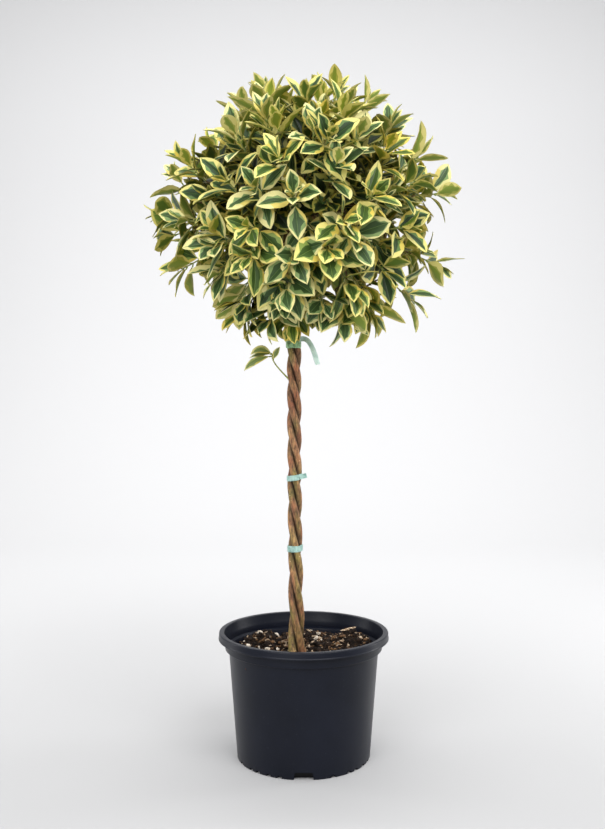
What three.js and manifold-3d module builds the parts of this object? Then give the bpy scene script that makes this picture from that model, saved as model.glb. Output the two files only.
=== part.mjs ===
// A standard (lollipop) topiary of a variegated evergreen shrub in its round nursery pot.
// Three slim stems are twisted round each other and carry one globe of leafy shoots.
// Millimetres, +Z up. The origin is at the centre of the pot's flat underside.
import * as THREE from "three";
import { mergeVertices } from "three/addons/utils/BufferGeometryUtils.js";
import Module from "manifold-3d";

// ---- Driving dimensions -------------------------------------------------------------------

const GAP = 0.3; // clearance between solids that touch on the real plant

// Pot: moulded shell with a collar and a flat rim
const POT_HEIGHT = 162;
const POT_FOOT_RADIUS = 86.2;
const POT_NECK_RADIUS = 97; // under the collar
const COLLAR_BOTTOM = 140.4;
const COLLAR_RADIUS = 101.7;
const RIM_BOTTOM = 152.8;
const RIM_RADIUS = 110.3;
const RIM_INNER_RADIUS = 102.8;
const POT_WALL = 2;
const POT_FLOOR = 3;
const POT_SEGMENTS = 40;
const NOTCH_BEARINGS = [0, 90, 180, 270]; // drainage notches in the foot
const NOTCH_WIDTH = 25;
const NOTCH_HEIGHT = 9.5;
const SLOT_OFFSETS = [25, 41, 49, 60, 70]; // shallow slots, by their bearing past each notch
const SLOT_WIDTH = 7;
const SLOT_HEIGHT = 3;
const NOTCH_DEPTH = 9;
const NOTCH_SLANT = 0.15; // how far a notch's side leans in for each millimetre up
const BAND_HEIGHT = 12.5; // the thick band round the floor, which the notches are cut in
const BAND_INNER_RADIUS = POT_FOOT_RADIUS - NOTCH_DEPTH - 2.5;
const POT_OUTLINE = [
  // radius and height: up the outside, over the rim and down the inside
  [0, 0],
  [POT_FOOT_RADIUS - 1, 0],
  [POT_FOOT_RADIUS, 1],
  [POT_NECK_RADIUS, COLLAR_BOTTOM],
  [COLLAR_RADIUS, COLLAR_BOTTOM],
  [COLLAR_RADIUS, RIM_BOTTOM],
  [RIM_RADIUS, RIM_BOTTOM],
  [RIM_RADIUS, RIM_BOTTOM + 2],
  [RIM_RADIUS - 0.7, RIM_BOTTOM + 2.6],
  [RIM_RADIUS - 0.7, POT_HEIGHT - 0.8],
  [RIM_RADIUS - 1.4, POT_HEIGHT],
  [RIM_INNER_RADIUS, POT_HEIGHT],
  [COLLAR_RADIUS - POT_WALL, RIM_BOTTOM - 3],
  [COLLAR_RADIUS - POT_WALL, COLLAR_BOTTOM + 2.2],
  [POT_NECK_RADIUS - POT_WALL, COLLAR_BOTTOM - 0.8],
  [potInside(BAND_HEIGHT), BAND_HEIGHT],
  [BAND_INNER_RADIUS, BAND_HEIGHT],
  [BAND_INNER_RADIUS, POT_FLOOR],
  [0, POT_FLOOR],
];

// Soil: fills the pot, with mounds towards the wall and a flat patch round the stems
const SOIL_LEVEL = 132;
const SOIL_RINGS = 6;
const SOIL_SEGMENTS = 24;
const SOIL_EDGE = [
  // radius and height of the soil's side, from under its top edge to the pot's floor
  [potInside(BAND_HEIGHT) - GAP, BAND_HEIGHT + GAP],
  [BAND_INNER_RADIUS - GAP, BAND_HEIGHT + GAP],
  [BAND_INNER_RADIUS - GAP, POT_FLOOR + GAP],
];
const SOIL_MOUNDS = [
  { x: -52, y: 26, height: 18, spread: 26 },
  { x: 64, y: 28, height: 20, spread: 26 },
  { x: 8, y: 62, height: 9, spread: 30 },
];
const SOIL_FLAT = 18; // the patch round the stems is flat to here
const SOIL_FULL = 36; // and the mounds have their full height from here

// Stems: three equal strands in a left-handed twist that tightens upwards
const STEM_COUNT = 3;
const STEM_FOOT_RADIUS = 4.7;
const STEM_RADIUS = 4.15; // at the first tie and above
const STEM_FLARE = 1.1; // extra radius at the soil
const STEM_FLARE_HEIGHT = 14;
const AXIS_FOOT_X = -8.5; // the twisted stem leans a little to the left
const AXIS_LEAN = -3.9;
const TWIST_TOP_PITCH = 100; // height of one turn, under the crown
const TWIST_FOOT_PITCH = 190; // and at the soil
const TWIST_PHASE = 120; // degrees, angle of the first strand at TWIST_TOP
const TWIST_TOP = 519;
const FORK_HEIGHT = 556; // the strands stop twisting and spread apart
const STEM_TOP = 662;
const STEM_TIP_RADIUS = 2.7;
const STEM_SPREAD = 22; // how far the tips stand from the stem's axis
const SPREAD_CURVE = 1.4; // above 1, the tips spread slowly at first
const STRAND_EASE = 1.05; // the strands stand this much further apart than if they touched
const STEM_SIDES = 7;
const STEM_STEPS = 50;

// Ties: soft bands round the twisted stem
const TIES = [
  { name: "tie_low", height: 269, tall: 7 },
  { name: "tie_middle", height: 361, tall: 7 },
  { name: "tie_top", height: 534, tall: 11 },
];
const TIE_THICKNESS = 1;
const TIE_SLACK = 0.15;
const TIE_SIDES = 18;
const TAIL_WIDTH = 7; // the free end of the top tie
const TAIL_BEARING = -50;
const TAIL_START = 2; // below the band's upper edge
const TAIL_STEPS = 12;
const TAIL_ROUTE = [
  new THREE.Vector3(13.6, -2, 9), // from its start: two handles of the curve, then its end
  new THREE.Vector3(18.7, -4, 2),
  new THREE.Vector3(24.5, -5, -30),
];

// Crown: a globe of leaves
const CROWN = new THREE.Vector3(-1, 0, 714);
const CROWN_RADIUS = 186; // to the tips of most leaves, sideways
const CROWN_UP = 158; // to the tips at the top
const CROWN_DOWN = 180; // to the tips underneath
const CORE_INNER = 52; // the dense cores of the masses lie between these distances from the centre
const CORE_OUTER = 124;
const TRUNK_CLEARANCE = 17; // kept free round the stems inside the crown
const CORE_TRUNK_CLEARANCE = 25; // the same for the cores
const BUD_TRUNK_CLEARANCE = 29; // and for the buds
const SHOOTS = 52;
const SHOOT_SEED = 7;
const CORE_CLEARANCE = 5; // between a core and its neighbours' spaces
const CORE_FILL = 0.94; // share of its space that a core fills
const CORE_STEP = 1.5; // steps in which a core is drawn out, from CORE_START
const CORE_START = 4;
const SHOOT_CLEARANCE = 6; // between a shoot's tip and its neighbours' spaces
const SETTLE_STEPS = 20; // steps in which a tip moves clear, each this share of the way in
const SETTLE_SHARE = 0.04;
const SHOOT_DEPTH = [0.97, 1.04]; // share of the reach that a shoot's leaves come to
const SHOOT_LIFT = 0.35; // how far the shoots look up, above the lowest ones
const LOW_LIFT = 0.05; // and the lowest ones, below LOW_RISE
const LOW_RISE = -0.3;
const SHAKE_ELEVATION = 6; // degrees by which the even spread of shoots is shaken
const SHAKE_BEARING = 8;
const LONG_SHOOT_ROOM = 9; // degrees kept free round each long shoot

// Shoots that stand out of the globe: bearing round the crown, elevation, reach of the leaf tip
const LONG_SHOOTS = [
  { bearing: 180, elevation: -5, reach: 210 },
  { bearing: 176, elevation: -13, reach: 207 },
  { bearing: 184, elevation: -29, reach: 208 },
  { bearing: 0, elevation: 4, reach: 208 },
  { bearing: 4, elevation: -24, reach: 222 },
  { bearing: -4, elevation: -42, reach: 218 },
  { bearing: 10, elevation: 72, reach: 184 },
  { bearing: 170, elevation: 72, reach: 178 },
  { bearing: 0, elevation: 57, reach: 182 },
  { bearing: 0, elevation: -62, reach: 196 },
  { bearing: 90, elevation: 8, reach: 204 },
  { bearing: -80, elevation: 14, reach: 200 },
];

// Masses: one on top, a ring above the waist and a ring below it
const MASS_RINGS = [
  { name: "leaves_top", elevation: 90, turn: 0, seeds: [3] },
  { name: "leaves_upper", elevation: 27, turn: 0, seeds: [1, 3, 3, 3] },
  { name: "leaves_lower", elevation: -30, turn: -90, seeds: [3, 1, 3, 1, 3] },
];

// Boughs, twigs and leaves
const BOUGH_RADIUS = 2.7;
const BOUGH_TIP_RADIUS = 1.9;
const BOUGH_SIDES = 5;
const BOUGH_STEPS = 4;
const MASS_STEM_RADIUS = 1.8;
const TWIG_RADIUS = 1.8;
const TWIG_TIP_RADIUS = 1.5;
const BOUGH_BACK = 6; // a bough ends this far short of CORE_INNER
const BOUGH_LIFT = 0.5; // how far a bough looks up where it leaves its stem
const BOUGH_RISE = [0.3, 0.98]; // share of the fork's height where the lowest and highest leave
const BOUGH_RISE_Z = [-0.5, 1]; // for masses whose middle direction rises this much
const SHOOT_LENGTH = 28; // the straight end of a twig, which carries the leaves
const TWIG_START = [0.2, 0.3]; // share of the way from a mass's seat to a shoot's tip
const LEAF_PAIRS = [
  { back: 1, splay: 27, size: 0.9 }, // back from the shoot's tip
  { back: 10, splay: 56, size: 1 },
  { back: 20, splay: 82, size: 0.95 },
];
const LEAF_SUNK = 0.5; // the leaf's root starts this far behind the middle of its twig
const LEAF_LENGTH = [46, 62];
const LEAF_WIDTH = 0.54; // of the length
const LEAF_THICKNESS = 1.3;
const LEAF_FOLD = 2.2; // how far the midrib lies below the margins
const LEAF_BELLY = 0.55; // where along its length a leaf is widest
const LEAF_COVER = 0.74; // share of a leaf's length that it adds to its shoot's reach
const LEAF_LIFT = 0.35; // how far a leaf's face looks up
const LEAF_TRIES = 9; // a leaf that leaves its space is tried again, shorter and turned further
const LEAF_SWING = { first: 16, more: 12 };
const LEAF_OPEN = { first: 18, more: 10 };
const LEAF_SHORTER = 0.03;

// Sprig: one thin shoot low on the left of the stem, its tips given from its own foot
const SPRIG_HEIGHT = 487;
const SPRIG_RADIUS = 1.1;
const SPRIG_TAPER = 0.9;
const SPRIG_SUNK = 0.03; // share of the stem by which a leaf's root sits back in it
const SPRIG_STEM = new THREE.Vector3(-16, -4, 25);
const SPRIG_FACE = new THREE.Vector3(0, -0.7, 0.7); // the way its leaves look
const SPRIG_LEAVES = [
  { from: 1.0, to: new THREE.Vector3(-49, -8, 37), width: 0.4 },
  { from: 0.95, to: new THREE.Vector3(-50, 8, 27), width: 0.36 },
  { from: 0.9, to: new THREE.Vector3(-56, -6, 13), width: 0.42 },
  { from: 0.8, to: new THREE.Vector3(-12, -6, 39), width: 0.5 },
  { from: 0.9, to: new THREE.Vector3(-32, 16, 44), width: 0.5 },
];

// ---- Materials ----------------------------------------------------------------------------

const potMaterial = new THREE.MeshStandardMaterial({ color: 0x232630, roughness: 0.45 });
const soilMaterial = new THREE.MeshStandardMaterial({ color: 0x2b211b, roughness: 1 });
const barkMaterial = new THREE.MeshStandardMaterial({ color: 0x8a6244, roughness: 0.85 });
const leafMaterial = new THREE.MeshStandardMaterial({ color: 0x93a35a, roughness: 0.5 });
const tieMaterial = new THREE.MeshStandardMaterial({ color: 0x96d7cd, roughness: 0.7 });

// ---- Helpers ------------------------------------------------------------------------------

const wasm = await Module();
wasm.setup();

const MERGE = 5e-4; // corners nearer than this are one corner
const OVERCUT = 4; // how far a cutter stands out of what it cuts
const CURVE_PULL = 0.35; // how far a curve keeps to its end directions, as a share of its length
const radians = THREE.MathUtils.degToRad;
const UP = new THREE.Vector3(0, 0, 1);

// A seeded draw of numbers from 0 to 1, the same in every run.
function drawFrom(seed) {
  let state = seed >>> 0;
  return () => {
    state = (state + 0x6d2b79f5) >>> 0;
    let mixed = Math.imul(state ^ (state >>> 15), 1 | state);
    mixed = (mixed + Math.imul(mixed ^ (mixed >>> 7), 61 | mixed)) ^ mixed;
    return ((mixed ^ (mixed >>> 14)) >>> 0) / 4294967296;
  };
}

// The unit vector at a bearing round the Z axis and an elevation above the level, in degrees.
function direction(bearing, elevation) {
  const level = Math.cos(radians(elevation));
  return new THREE.Vector3(
    level * Math.cos(radians(bearing)),
    level * Math.sin(radians(bearing)),
    Math.sin(radians(elevation)),
  );
}

// Any unit vector square to the given one.
function squareTo(vector) {
  const other = Math.abs(vector.z) < 0.9 ? UP : new THREE.Vector3(1, 0, 0);
  return new THREE.Vector3().crossVectors(other, vector).normalize();
}

// A closed geometry of the given corners and triangles.
function meshOf(corners, triangles) {
  const geometry = new THREE.BufferGeometry();
  geometry.setAttribute("position", new THREE.Float32BufferAttribute(corners.flat(), 3));
  geometry.setIndex(triangles.flat());
  return geometry;
}

function solidOf(geometry) {
  const bare = new THREE.BufferGeometry();
  bare.setAttribute("position", geometry.getAttribute("position"));
  bare.setIndex(geometry.getIndex());
  const merged = mergeVertices(bare, MERGE);
  return new wasm.Manifold(
    new wasm.Mesh({
      numProp: 3,
      vertProperties: new Float32Array(merged.attributes.position.array),
      triVerts: new Uint32Array(merged.index.array),
    }),
  );
}

function geometryOf(solid) {
  const mesh = solid.getMesh();
  const geometry = new THREE.BufferGeometry();
  geometry.setAttribute("position", new THREE.Float32BufferAttribute(mesh.vertProperties, 3));
  geometry.setIndex(new THREE.BufferAttribute(mesh.triVerts, 1));
  geometry.computeVertexNormals();
  return geometry;
}

// Adds solids two by two, so that each join stays small.
function joined(solids) {
  let left = solids;
  while (left.length > 1) {
    const next = [];
    for (let i = 0; i < left.length; i += 2) {
      next.push(i + 1 < left.length ? left[i].add(left[i + 1]) : left[i]);
    }
    left = next;
  }
  return left[0];
}

// A solid with the given limbs cut away from it.
function clearOf(solid, limbs) {
  return limbs.reduce((left, other) => left.subtract(other), solid);
}

// The main body of a solid: loose scraps are dropped and hollows that a join sealed are filled.
function mainBody(solid) {
  const bodies = solidOf(geometryOf(solid)).decompose();
  return bodies.sort((a, b) => b.volume() - a.volume())[0];
}

// A closed tapering limb through the points, with a flat cut at each end.
function limb(points, radii, sides, level = false) {
  const corners = [];
  const triangles = [];
  let across = null;
  points.forEach((point, i) => {
    const before = points[Math.max(i - 1, 0)];
    const after = points[Math.min(i + 1, points.length - 1)];
    const along = level ? UP : after.clone().sub(before).normalize();
    across = across
      ? across.clone().addScaledVector(along, -across.dot(along)).normalize()
      : squareTo(along);
    const third = new THREE.Vector3().crossVectors(along, across);
    for (let side = 0; side < sides; side++) {
      const angle = (side / sides) * Math.PI * 2;
      const corner = point
        .clone()
        .addScaledVector(across, Math.cos(angle) * radii[i])
        .addScaledVector(third, Math.sin(angle) * radii[i]);
      corners.push(corner.toArray());
    }
  });
  for (let i = 0; i < points.length - 1; i++) {
    for (let side = 0; side < sides; side++) {
      const next = (side + 1) % sides;
      const a = i * sides + side;
      const b = i * sides + next;
      triangles.push([a, b, b + sides], [a, b + sides, a + sides]);
    }
  }
  const last = (points.length - 1) * sides;
  for (let side = 1; side < sides - 1; side++) {
    triangles.push([0, side + 1, side], [last, last + side, last + side + 1]);
  }
  return meshOf(corners, triangles);
}

// Points on a gentle curve that leaves start and comes to end along the given directions.
function sweep(start, leave, end, arrive, steps) {
  const pull = start.distanceTo(end) * CURVE_PULL;
  const first = start.clone().addScaledVector(leave, pull);
  const second = end.clone().addScaledVector(arrive, -pull);
  return new THREE.CubicBezierCurve3(start, first, second, end).getPoints(steps);
}

// ---- Pot and soil -------------------------------------------------------------------------

// The pot's inner radius at a height.
function potInside(height) {
  const body = POT_FOOT_RADIUS + ((POT_NECK_RADIUS - POT_FOOT_RADIUS) * height) / COLLAR_BOTTOM;
  return body - POT_WALL;
}

// A wedge that cuts one notch through the pot's foot at a bearing.
function notch(bearing, width, height) {
  const foot = width / 2;
  const head = foot - height * NOTCH_SLANT;
  const shape = new THREE.Shape([
    new THREE.Vector2(-foot, -OVERCUT),
    new THREE.Vector2(foot, -OVERCUT),
    new THREE.Vector2(head, height),
    new THREE.Vector2(-head, height),
  ]);
  const cutter = new THREE.ExtrudeGeometry(shape, {
    depth: NOTCH_DEPTH + OVERCUT,
    bevelEnabled: false,
  });
  cutter.rotateX(Math.PI / 2);
  cutter.translate(0, -(POT_FOOT_RADIUS - NOTCH_DEPTH), 0);
  cutter.rotateZ(radians(bearing + 90));
  return cutter;
}

function makePot() {
  const profile = POT_OUTLINE.map(([radius, height]) => new THREE.Vector2(radius, height));
  const shell = new THREE.LatheGeometry(profile, POT_SEGMENTS);
  shell.rotateX(Math.PI / 2);
  const cuts = [
    ...NOTCH_BEARINGS.map((bearing) => notch(bearing, NOTCH_WIDTH, NOTCH_HEIGHT)),
    ...NOTCH_BEARINGS.flatMap((bearing) =>
      SLOT_OFFSETS.map((offset) => notch(bearing + offset, SLOT_WIDTH, SLOT_HEIGHT)),
    ),
  ];
  return geometryOf(clearOf(solidOf(shell), cuts.map(solidOf)));
}

// The height of the soil at a place: level round the stems, with the mounds beside them.
function soilHeight(x, y) {
  let height = SOIL_LEVEL;
  for (const mound of SOIL_MOUNDS) {
    const away = Math.hypot(x - mound.x, y - mound.y) / mound.spread;
    height += mound.height * Math.exp(-away * away);
  }
  const fromStem = Math.hypot(x - AXIS_FOOT_X, y);
  const blend = THREE.MathUtils.smoothstep(fromStem, SOIL_FLAT, SOIL_FULL);
  return SOIL_LEVEL + (height - SOIL_LEVEL) * blend;
}

function makeSoil() {
  const corners = [];
  const triangles = [];
  const topRadius = potInside(SOIL_LEVEL) - GAP;
  const angles = Array.from({ length: SOIL_SEGMENTS }, (_, k) => (k / SOIL_SEGMENTS) * Math.PI * 2);
  for (let ring = 1; ring <= SOIL_RINGS; ring++) {
    const share = ring / SOIL_RINGS;
    for (const angle of angles) {
      const x = AXIS_FOOT_X * (1 - share) + Math.cos(angle) * topRadius * share;
      const y = Math.sin(angle) * topRadius * share;
      corners.push([x, y, soilHeight(x, y)]);
    }
  }
  for (const [radius, height] of SOIL_EDGE) {
    for (const angle of angles) {
      corners.push([Math.cos(angle) * radius, Math.sin(angle) * radius, height]);
    }
  }
  const topCentre = corners.push([AXIS_FOOT_X, 0, SOIL_LEVEL]) - 1;
  const bottomCentre = corners.push([0, 0, POT_FLOOR + GAP]) - 1;
  const last = SOIL_RINGS + SOIL_EDGE.length - 1;
  for (let k = 0; k < SOIL_SEGMENTS; k++) {
    const next = (k + 1) % SOIL_SEGMENTS;
    triangles.push([topCentre, k, next]);
    for (let ring = 0; ring < last; ring++) {
      const a = ring * SOIL_SEGMENTS + k;
      const b = ring * SOIL_SEGMENTS + next;
      triangles.push([a, a + SOIL_SEGMENTS, b + SOIL_SEGMENTS], [a, b + SOIL_SEGMENTS, b]);
    }
    const edge = last * SOIL_SEGMENTS;
    triangles.push([bottomCentre, edge + next, edge + k]);
  }
  return meshOf(corners, triangles);
}

// ---- Twisted stems ------------------------------------------------------------------------

const STEM_FOOT = SOIL_LEVEL + GAP;

// The middle of the twisted stem at a height.
function stemAxis(height) {
  const share = THREE.MathUtils.clamp((height - SOIL_LEVEL) / (STEM_TOP - SOIL_LEVEL), 0, 1);
  const lean = AXIS_LEAN * (1 - (1 - share) ** 3);
  return new THREE.Vector3(AXIS_FOOT_X + lean, 0, height);
}

function stemRadius(height) {
  if (height > FORK_HEIGHT) {
    const share = (height - FORK_HEIGHT) / (STEM_TOP - FORK_HEIGHT);
    return THREE.MathUtils.lerp(STEM_RADIUS, STEM_TIP_RADIUS, share);
  }
  const slim = THREE.MathUtils.clamp((height - SOIL_LEVEL) / (TIES[0].height - SOIL_LEVEL), 0, 1);
  const flare = STEM_FLARE * Math.exp((STEM_FOOT - height) / STEM_FLARE_HEIGHT);
  return THREE.MathUtils.lerp(STEM_FOOT_RADIUS, STEM_RADIUS, slim) + flare;
}

// Turns of the twist down from TWIST_TOP: the rate falls evenly from the top to the soil.
function twistTurns(height) {
  const drop = TWIST_TOP - Math.min(height, FORK_HEIGHT);
  const change = (1 / TWIST_TOP_PITCH - 1 / TWIST_FOOT_PITCH) / (TWIST_TOP - SOIL_LEVEL);
  return drop / TWIST_TOP_PITCH - (change * drop * drop) / 2;
}

// How far a strand's middle lies from the axis: the strands touch, then spread above the fork.
function strandOffset(height) {
  const pitch = (stemRadius(Math.min(height, FORK_HEIGHT)) * 2 + GAP) * STRAND_EASE;
  const share = THREE.MathUtils.clamp((height - FORK_HEIGHT) / (STEM_TOP - FORK_HEIGHT), 0, 1);
  return THREE.MathUtils.lerp(pitch / Math.sqrt(3), STEM_SPREAD, share ** SPREAD_CURVE);
}

function strandPoint(strand, height) {
  const angle = radians(TWIST_PHASE + (strand * 360) / STEM_COUNT + twistTurns(height) * 360);
  const away = strandOffset(height);
  return stemAxis(height).add(
    new THREE.Vector3(Math.cos(angle) * away, Math.sin(angle) * away, 0),
  );
}

function stemSolid(strand, extra) {
  const points = [];
  const radii = [];
  const lowest = STEM_FOOT - (extra > 0 ? 1 : 0);
  for (let i = 0; i <= STEM_STEPS; i++) {
    const height = THREE.MathUtils.lerp(lowest, STEM_TOP + extra, i / STEM_STEPS);
    points.push(strandPoint(strand, Math.min(height, STEM_TOP)).setZ(height));
    radii.push(stemRadius(Math.min(height, STEM_TOP)) + extra);
  }
  return limb(points, radii, STEM_SIDES, true);
}

function makeTie(tie, standing) {
  const inner = strandOffset(tie.height) + stemRadius(tie.height) + GAP + TIE_SLACK;
  const outer = inner + TIE_THICKNESS;
  const half = tie.tall / 2;
  const middle = stemAxis(tie.height);
  const ring = new THREE.LatheGeometry(
    [
      new THREE.Vector2(inner, -half),
      new THREE.Vector2(outer, -half),
      new THREE.Vector2(outer, half),
      new THREE.Vector2(inner, half),
      new THREE.Vector2(inner, -half),
    ],
    TIE_SIDES,
  );
  ring.rotateX(Math.PI / 2);
  ring.translate(middle.x, middle.y, middle.z);
  if (tie.name !== "tie_top") {
    return geometryOf(solidOf(ring));
  }
  const out = direction(TAIL_BEARING, 0).multiplyScalar((inner + outer) / 2);
  const start = middle.clone().add(out).setZ(tie.height + half - TAIL_START);
  const handles = TAIL_ROUTE.map((offset) => start.clone().add(offset));
  const route = new THREE.CubicBezierCurve3(start, ...handles);
  const strip = new THREE.Shape([
    new THREE.Vector2(-TIE_THICKNESS / 2, -TAIL_WIDTH / 2),
    new THREE.Vector2(TIE_THICKNESS / 2, -TAIL_WIDTH / 2),
    new THREE.Vector2(TIE_THICKNESS / 2, TAIL_WIDTH / 2),
    new THREE.Vector2(-TIE_THICKNESS / 2, TAIL_WIDTH / 2),
  ]);
  const tail = new THREE.ExtrudeGeometry(strip, { steps: TAIL_STEPS, extrudePath: route });
  return geometryOf(mainBody(clearOf(solidOf(ring).add(solidOf(tail)), standing)));
}

// ---- Crown --------------------------------------------------------------------------------

// Every mass with the middle direction of its own space.
const masses = MASS_RINGS.flatMap((ring) =>
  ring.seeds.map((seed, i) => ({
    name: ring.seeds.length > 1 ? `${ring.name}_${i + 1}` : ring.name,
    middle: direction(ring.turn + (i * 360) / ring.seeds.length, ring.elevation),
    seed,
  })),
);

// How far inside a mass's space a point lies: the spaces meet on planes through the crown's centre.
function depthInSpace(mass, point) {
  const from = point.clone().sub(CROWN);
  let depth = Infinity;
  for (const other of masses) {
    if (other !== mass) {
      const across = mass.middle.clone().sub(other.middle).normalize();
      depth = Math.min(depth, from.dot(across));
    }
  }
  return depth;
}

function stemDistance(point) {
  if (point.z > STEM_TOP + 6) {
    return Infinity;
  }
  const axis = stemAxis(point.z);
  return Math.hypot(point.x - axis.x, point.y - axis.y);
}

function fits(mass, points) {
  return points.every(
    (point) => depthInSpace(mass, point) > GAP && stemDistance(point) > TRUNK_CLEARANCE,
  );
}

// How far the leaf tips reach from the crown's centre in a direction.
function reachOf(way) {
  const tall = way.z > 0 ? CROWN_UP : CROWN_DOWN;
  const level = Math.hypot(way.x, way.y) / CROWN_RADIUS;
  return 1 / Math.hypot(level, way.z / tall);
}

// The dense heart of a mass: a ball drawn out to fill its space, with clearance all round.
function coreOf(mass) {
  const ball = new THREE.IcosahedronGeometry(1, 1);
  const corners = ball.getAttribute("position");
  const seat = CROWN.clone().addScaledVector(mass.middle, (CORE_INNER + CORE_OUTER) / 2);
  for (let i = 0; i < corners.count; i++) {
    const way = new THREE.Vector3().fromBufferAttribute(corners, i).normalize();
    let reach = CORE_OUTER;
    for (let size = CORE_START; size < CORE_OUTER; size += CORE_STEP) {
      const point = seat.clone().addScaledVector(way, size);
      const away = point.distanceTo(CROWN);
      const between = away > CORE_INNER && away < CORE_OUTER;
      const inside = between && depthInSpace(mass, point) > CORE_CLEARANCE;
      if (!inside || stemDistance(point) < CORE_TRUNK_CLEARANCE) {
        reach = size;
        break;
      }
    }
    const point = seat.clone().addScaledVector(way, reach * CORE_FILL);
    corners.setXYZ(i, point.x, point.y, point.z);
  }
  return mergeVertices(meshWithoutNormals(ball), MERGE);
}

function meshWithoutNormals(geometry) {
  const bare = new THREE.BufferGeometry();
  bare.setAttribute("position", geometry.getAttribute("position"));
  return bare;
}

// A leaf: a blade of eight faces with a point at each end, folded along its midrib.
function leafBlade(root, tip, face, width) {
  const along = tip.clone().sub(root);
  const length = along.length();
  along.normalize();
  const side = new THREE.Vector3().crossVectors(along, face).normalize();
  const above = new THREE.Vector3().crossVectors(side, along).normalize();
  const belly = root.clone().addScaledVector(along, length * LEAF_BELLY);
  const half = (length * width) / 2;
  const corners = [
    root,
    tip,
    belly.clone().addScaledVector(side, half),
    belly.clone().addScaledVector(side, -half),
    belly.clone().addScaledVector(above, LEAF_THICKNESS / 2 - LEAF_FOLD),
    belly.clone().addScaledVector(above, -LEAF_THICKNESS / 2 - LEAF_FOLD),
  ];
  const triangles = [
    [0, 2, 4],
    [2, 1, 4],
    [1, 3, 4],
    [3, 0, 4],
    [0, 5, 2],
    [2, 5, 1],
    [1, 5, 3],
    [3, 5, 0],
  ];
  const blade = meshOf(
    corners.map((corner) => corner.toArray()),
    triangles,
  );
  return { blade, corners };
}

// A pair of leaves that face each other across a shoot and stand out at the given splay.
function leafPair(mass, node, pointing, turn, pair, draw) {
  const solids = [];
  const across = squareTo(pointing);
  const third = new THREE.Vector3().crossVectors(pointing, across);
  for (const half of [0, 180]) {
    const length = THREE.MathUtils.lerp(...LEAF_LENGTH, draw()) * pair.size;
    for (let attempt = 0; attempt < LEAF_TRIES; attempt++) {
      const swings = LEAF_SWING.first + attempt * LEAF_SWING.more;
      const opens = LEAF_OPEN.first + attempt * LEAF_OPEN.more;
      const swing = radians(turn + half + (draw() - 0.5) * swings);
      const open = radians(pair.splay + (draw() - 0.5) * opens);
      const way = pointing
        .clone()
        .multiplyScalar(Math.cos(open))
        .addScaledVector(across, Math.cos(swing) * Math.sin(open))
        .addScaledVector(third, Math.sin(swing) * Math.sin(open));
      const root = node.clone().addScaledVector(way, -LEAF_SUNK);
      const tip = node.clone().addScaledVector(way, length * (1 - attempt * LEAF_SHORTER));
      const face = pointing.clone().addScaledVector(UP, LEAF_LIFT);
      const leaf = leafBlade(root, tip, face, LEAF_WIDTH);
      if (fits(mass, leaf.corners)) {
        solids.push(solidOf(leaf.blade));
        break;
      }
    }
  }
  return solids;
}

// Directions spread evenly over the globe, then shaken a little.
function evenDirections(count, draw) {
  const golden = 180 * (3 - Math.sqrt(5));
  return Array.from({ length: count }, (_, i) => {
    const height = 1 - ((i + 0.5) * 2) / count;
    const level = THREE.MathUtils.radToDeg(Math.asin(height));
    const elevation = level + (draw() - 0.5) * SHAKE_ELEVATION;
    const bearing = i * golden + (draw() - 0.5) * SHAKE_BEARING;
    return direction(bearing, THREE.MathUtils.clamp(elevation, -90, 90));
  });
}

// Every shoot: where its bud stands, which way it points and which mass it belongs to.
function planShoots() {
  const draw = drawFrom(SHOOT_SEED);
  const shoots = [];
  const leafReach = (LEAF_LENGTH[0] + LEAF_LENGTH[1]) / 2;
  for (const way of evenDirections(SHOOTS, draw)) {
    const lift = way.z > LOW_RISE ? SHOOT_LIFT : LOW_LIFT;
    const pointing = way.clone().addScaledVector(UP, lift).normalize();
    const share = THREE.MathUtils.lerp(...SHOOT_DEPTH, draw());
    const depth = reachOf(way) * share - leafReach * LEAF_COVER;
    const clear = LONG_SHOOTS.every(
      (long) =>
        direction(long.bearing, long.elevation).angleTo(way) > radians(LONG_SHOOT_ROOM),
    );
    if (clear) {
      shoots.push({ place: CROWN.clone().addScaledVector(way, depth), pointing, long: false });
    }
  }
  for (const long of LONG_SHOOTS) {
    const way = direction(long.bearing, long.elevation);
    const depth = long.reach - LEAF_LENGTH[1];
    shoots.push({
      place: CROWN.clone().addScaledVector(way, depth),
      pointing: way.clone(),
      long: true,
    });
  }
  for (const shoot of shoots) {
    shoot.mass = masses.find((mass) => depthInSpace(mass, shoot.place) > 0);
  }
  return shoots.filter((shoot) => stemDistance(shoot.place) > BUD_TRUNK_CLEARANCE);
}

// Moves a bud sideways until it keeps clear of its neighbours' spaces.
function settle(mass, place) {
  const moved = place.clone();
  for (let i = 0; i < SETTLE_STEPS && depthInSpace(mass, moved) < SHOOT_CLEARANCE; i++) {
    const middle = CROWN.clone().addScaledVector(mass.middle, moved.distanceTo(CROWN));
    moved.lerp(middle, SETTLE_SHARE);
  }
  return moved;
}

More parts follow.
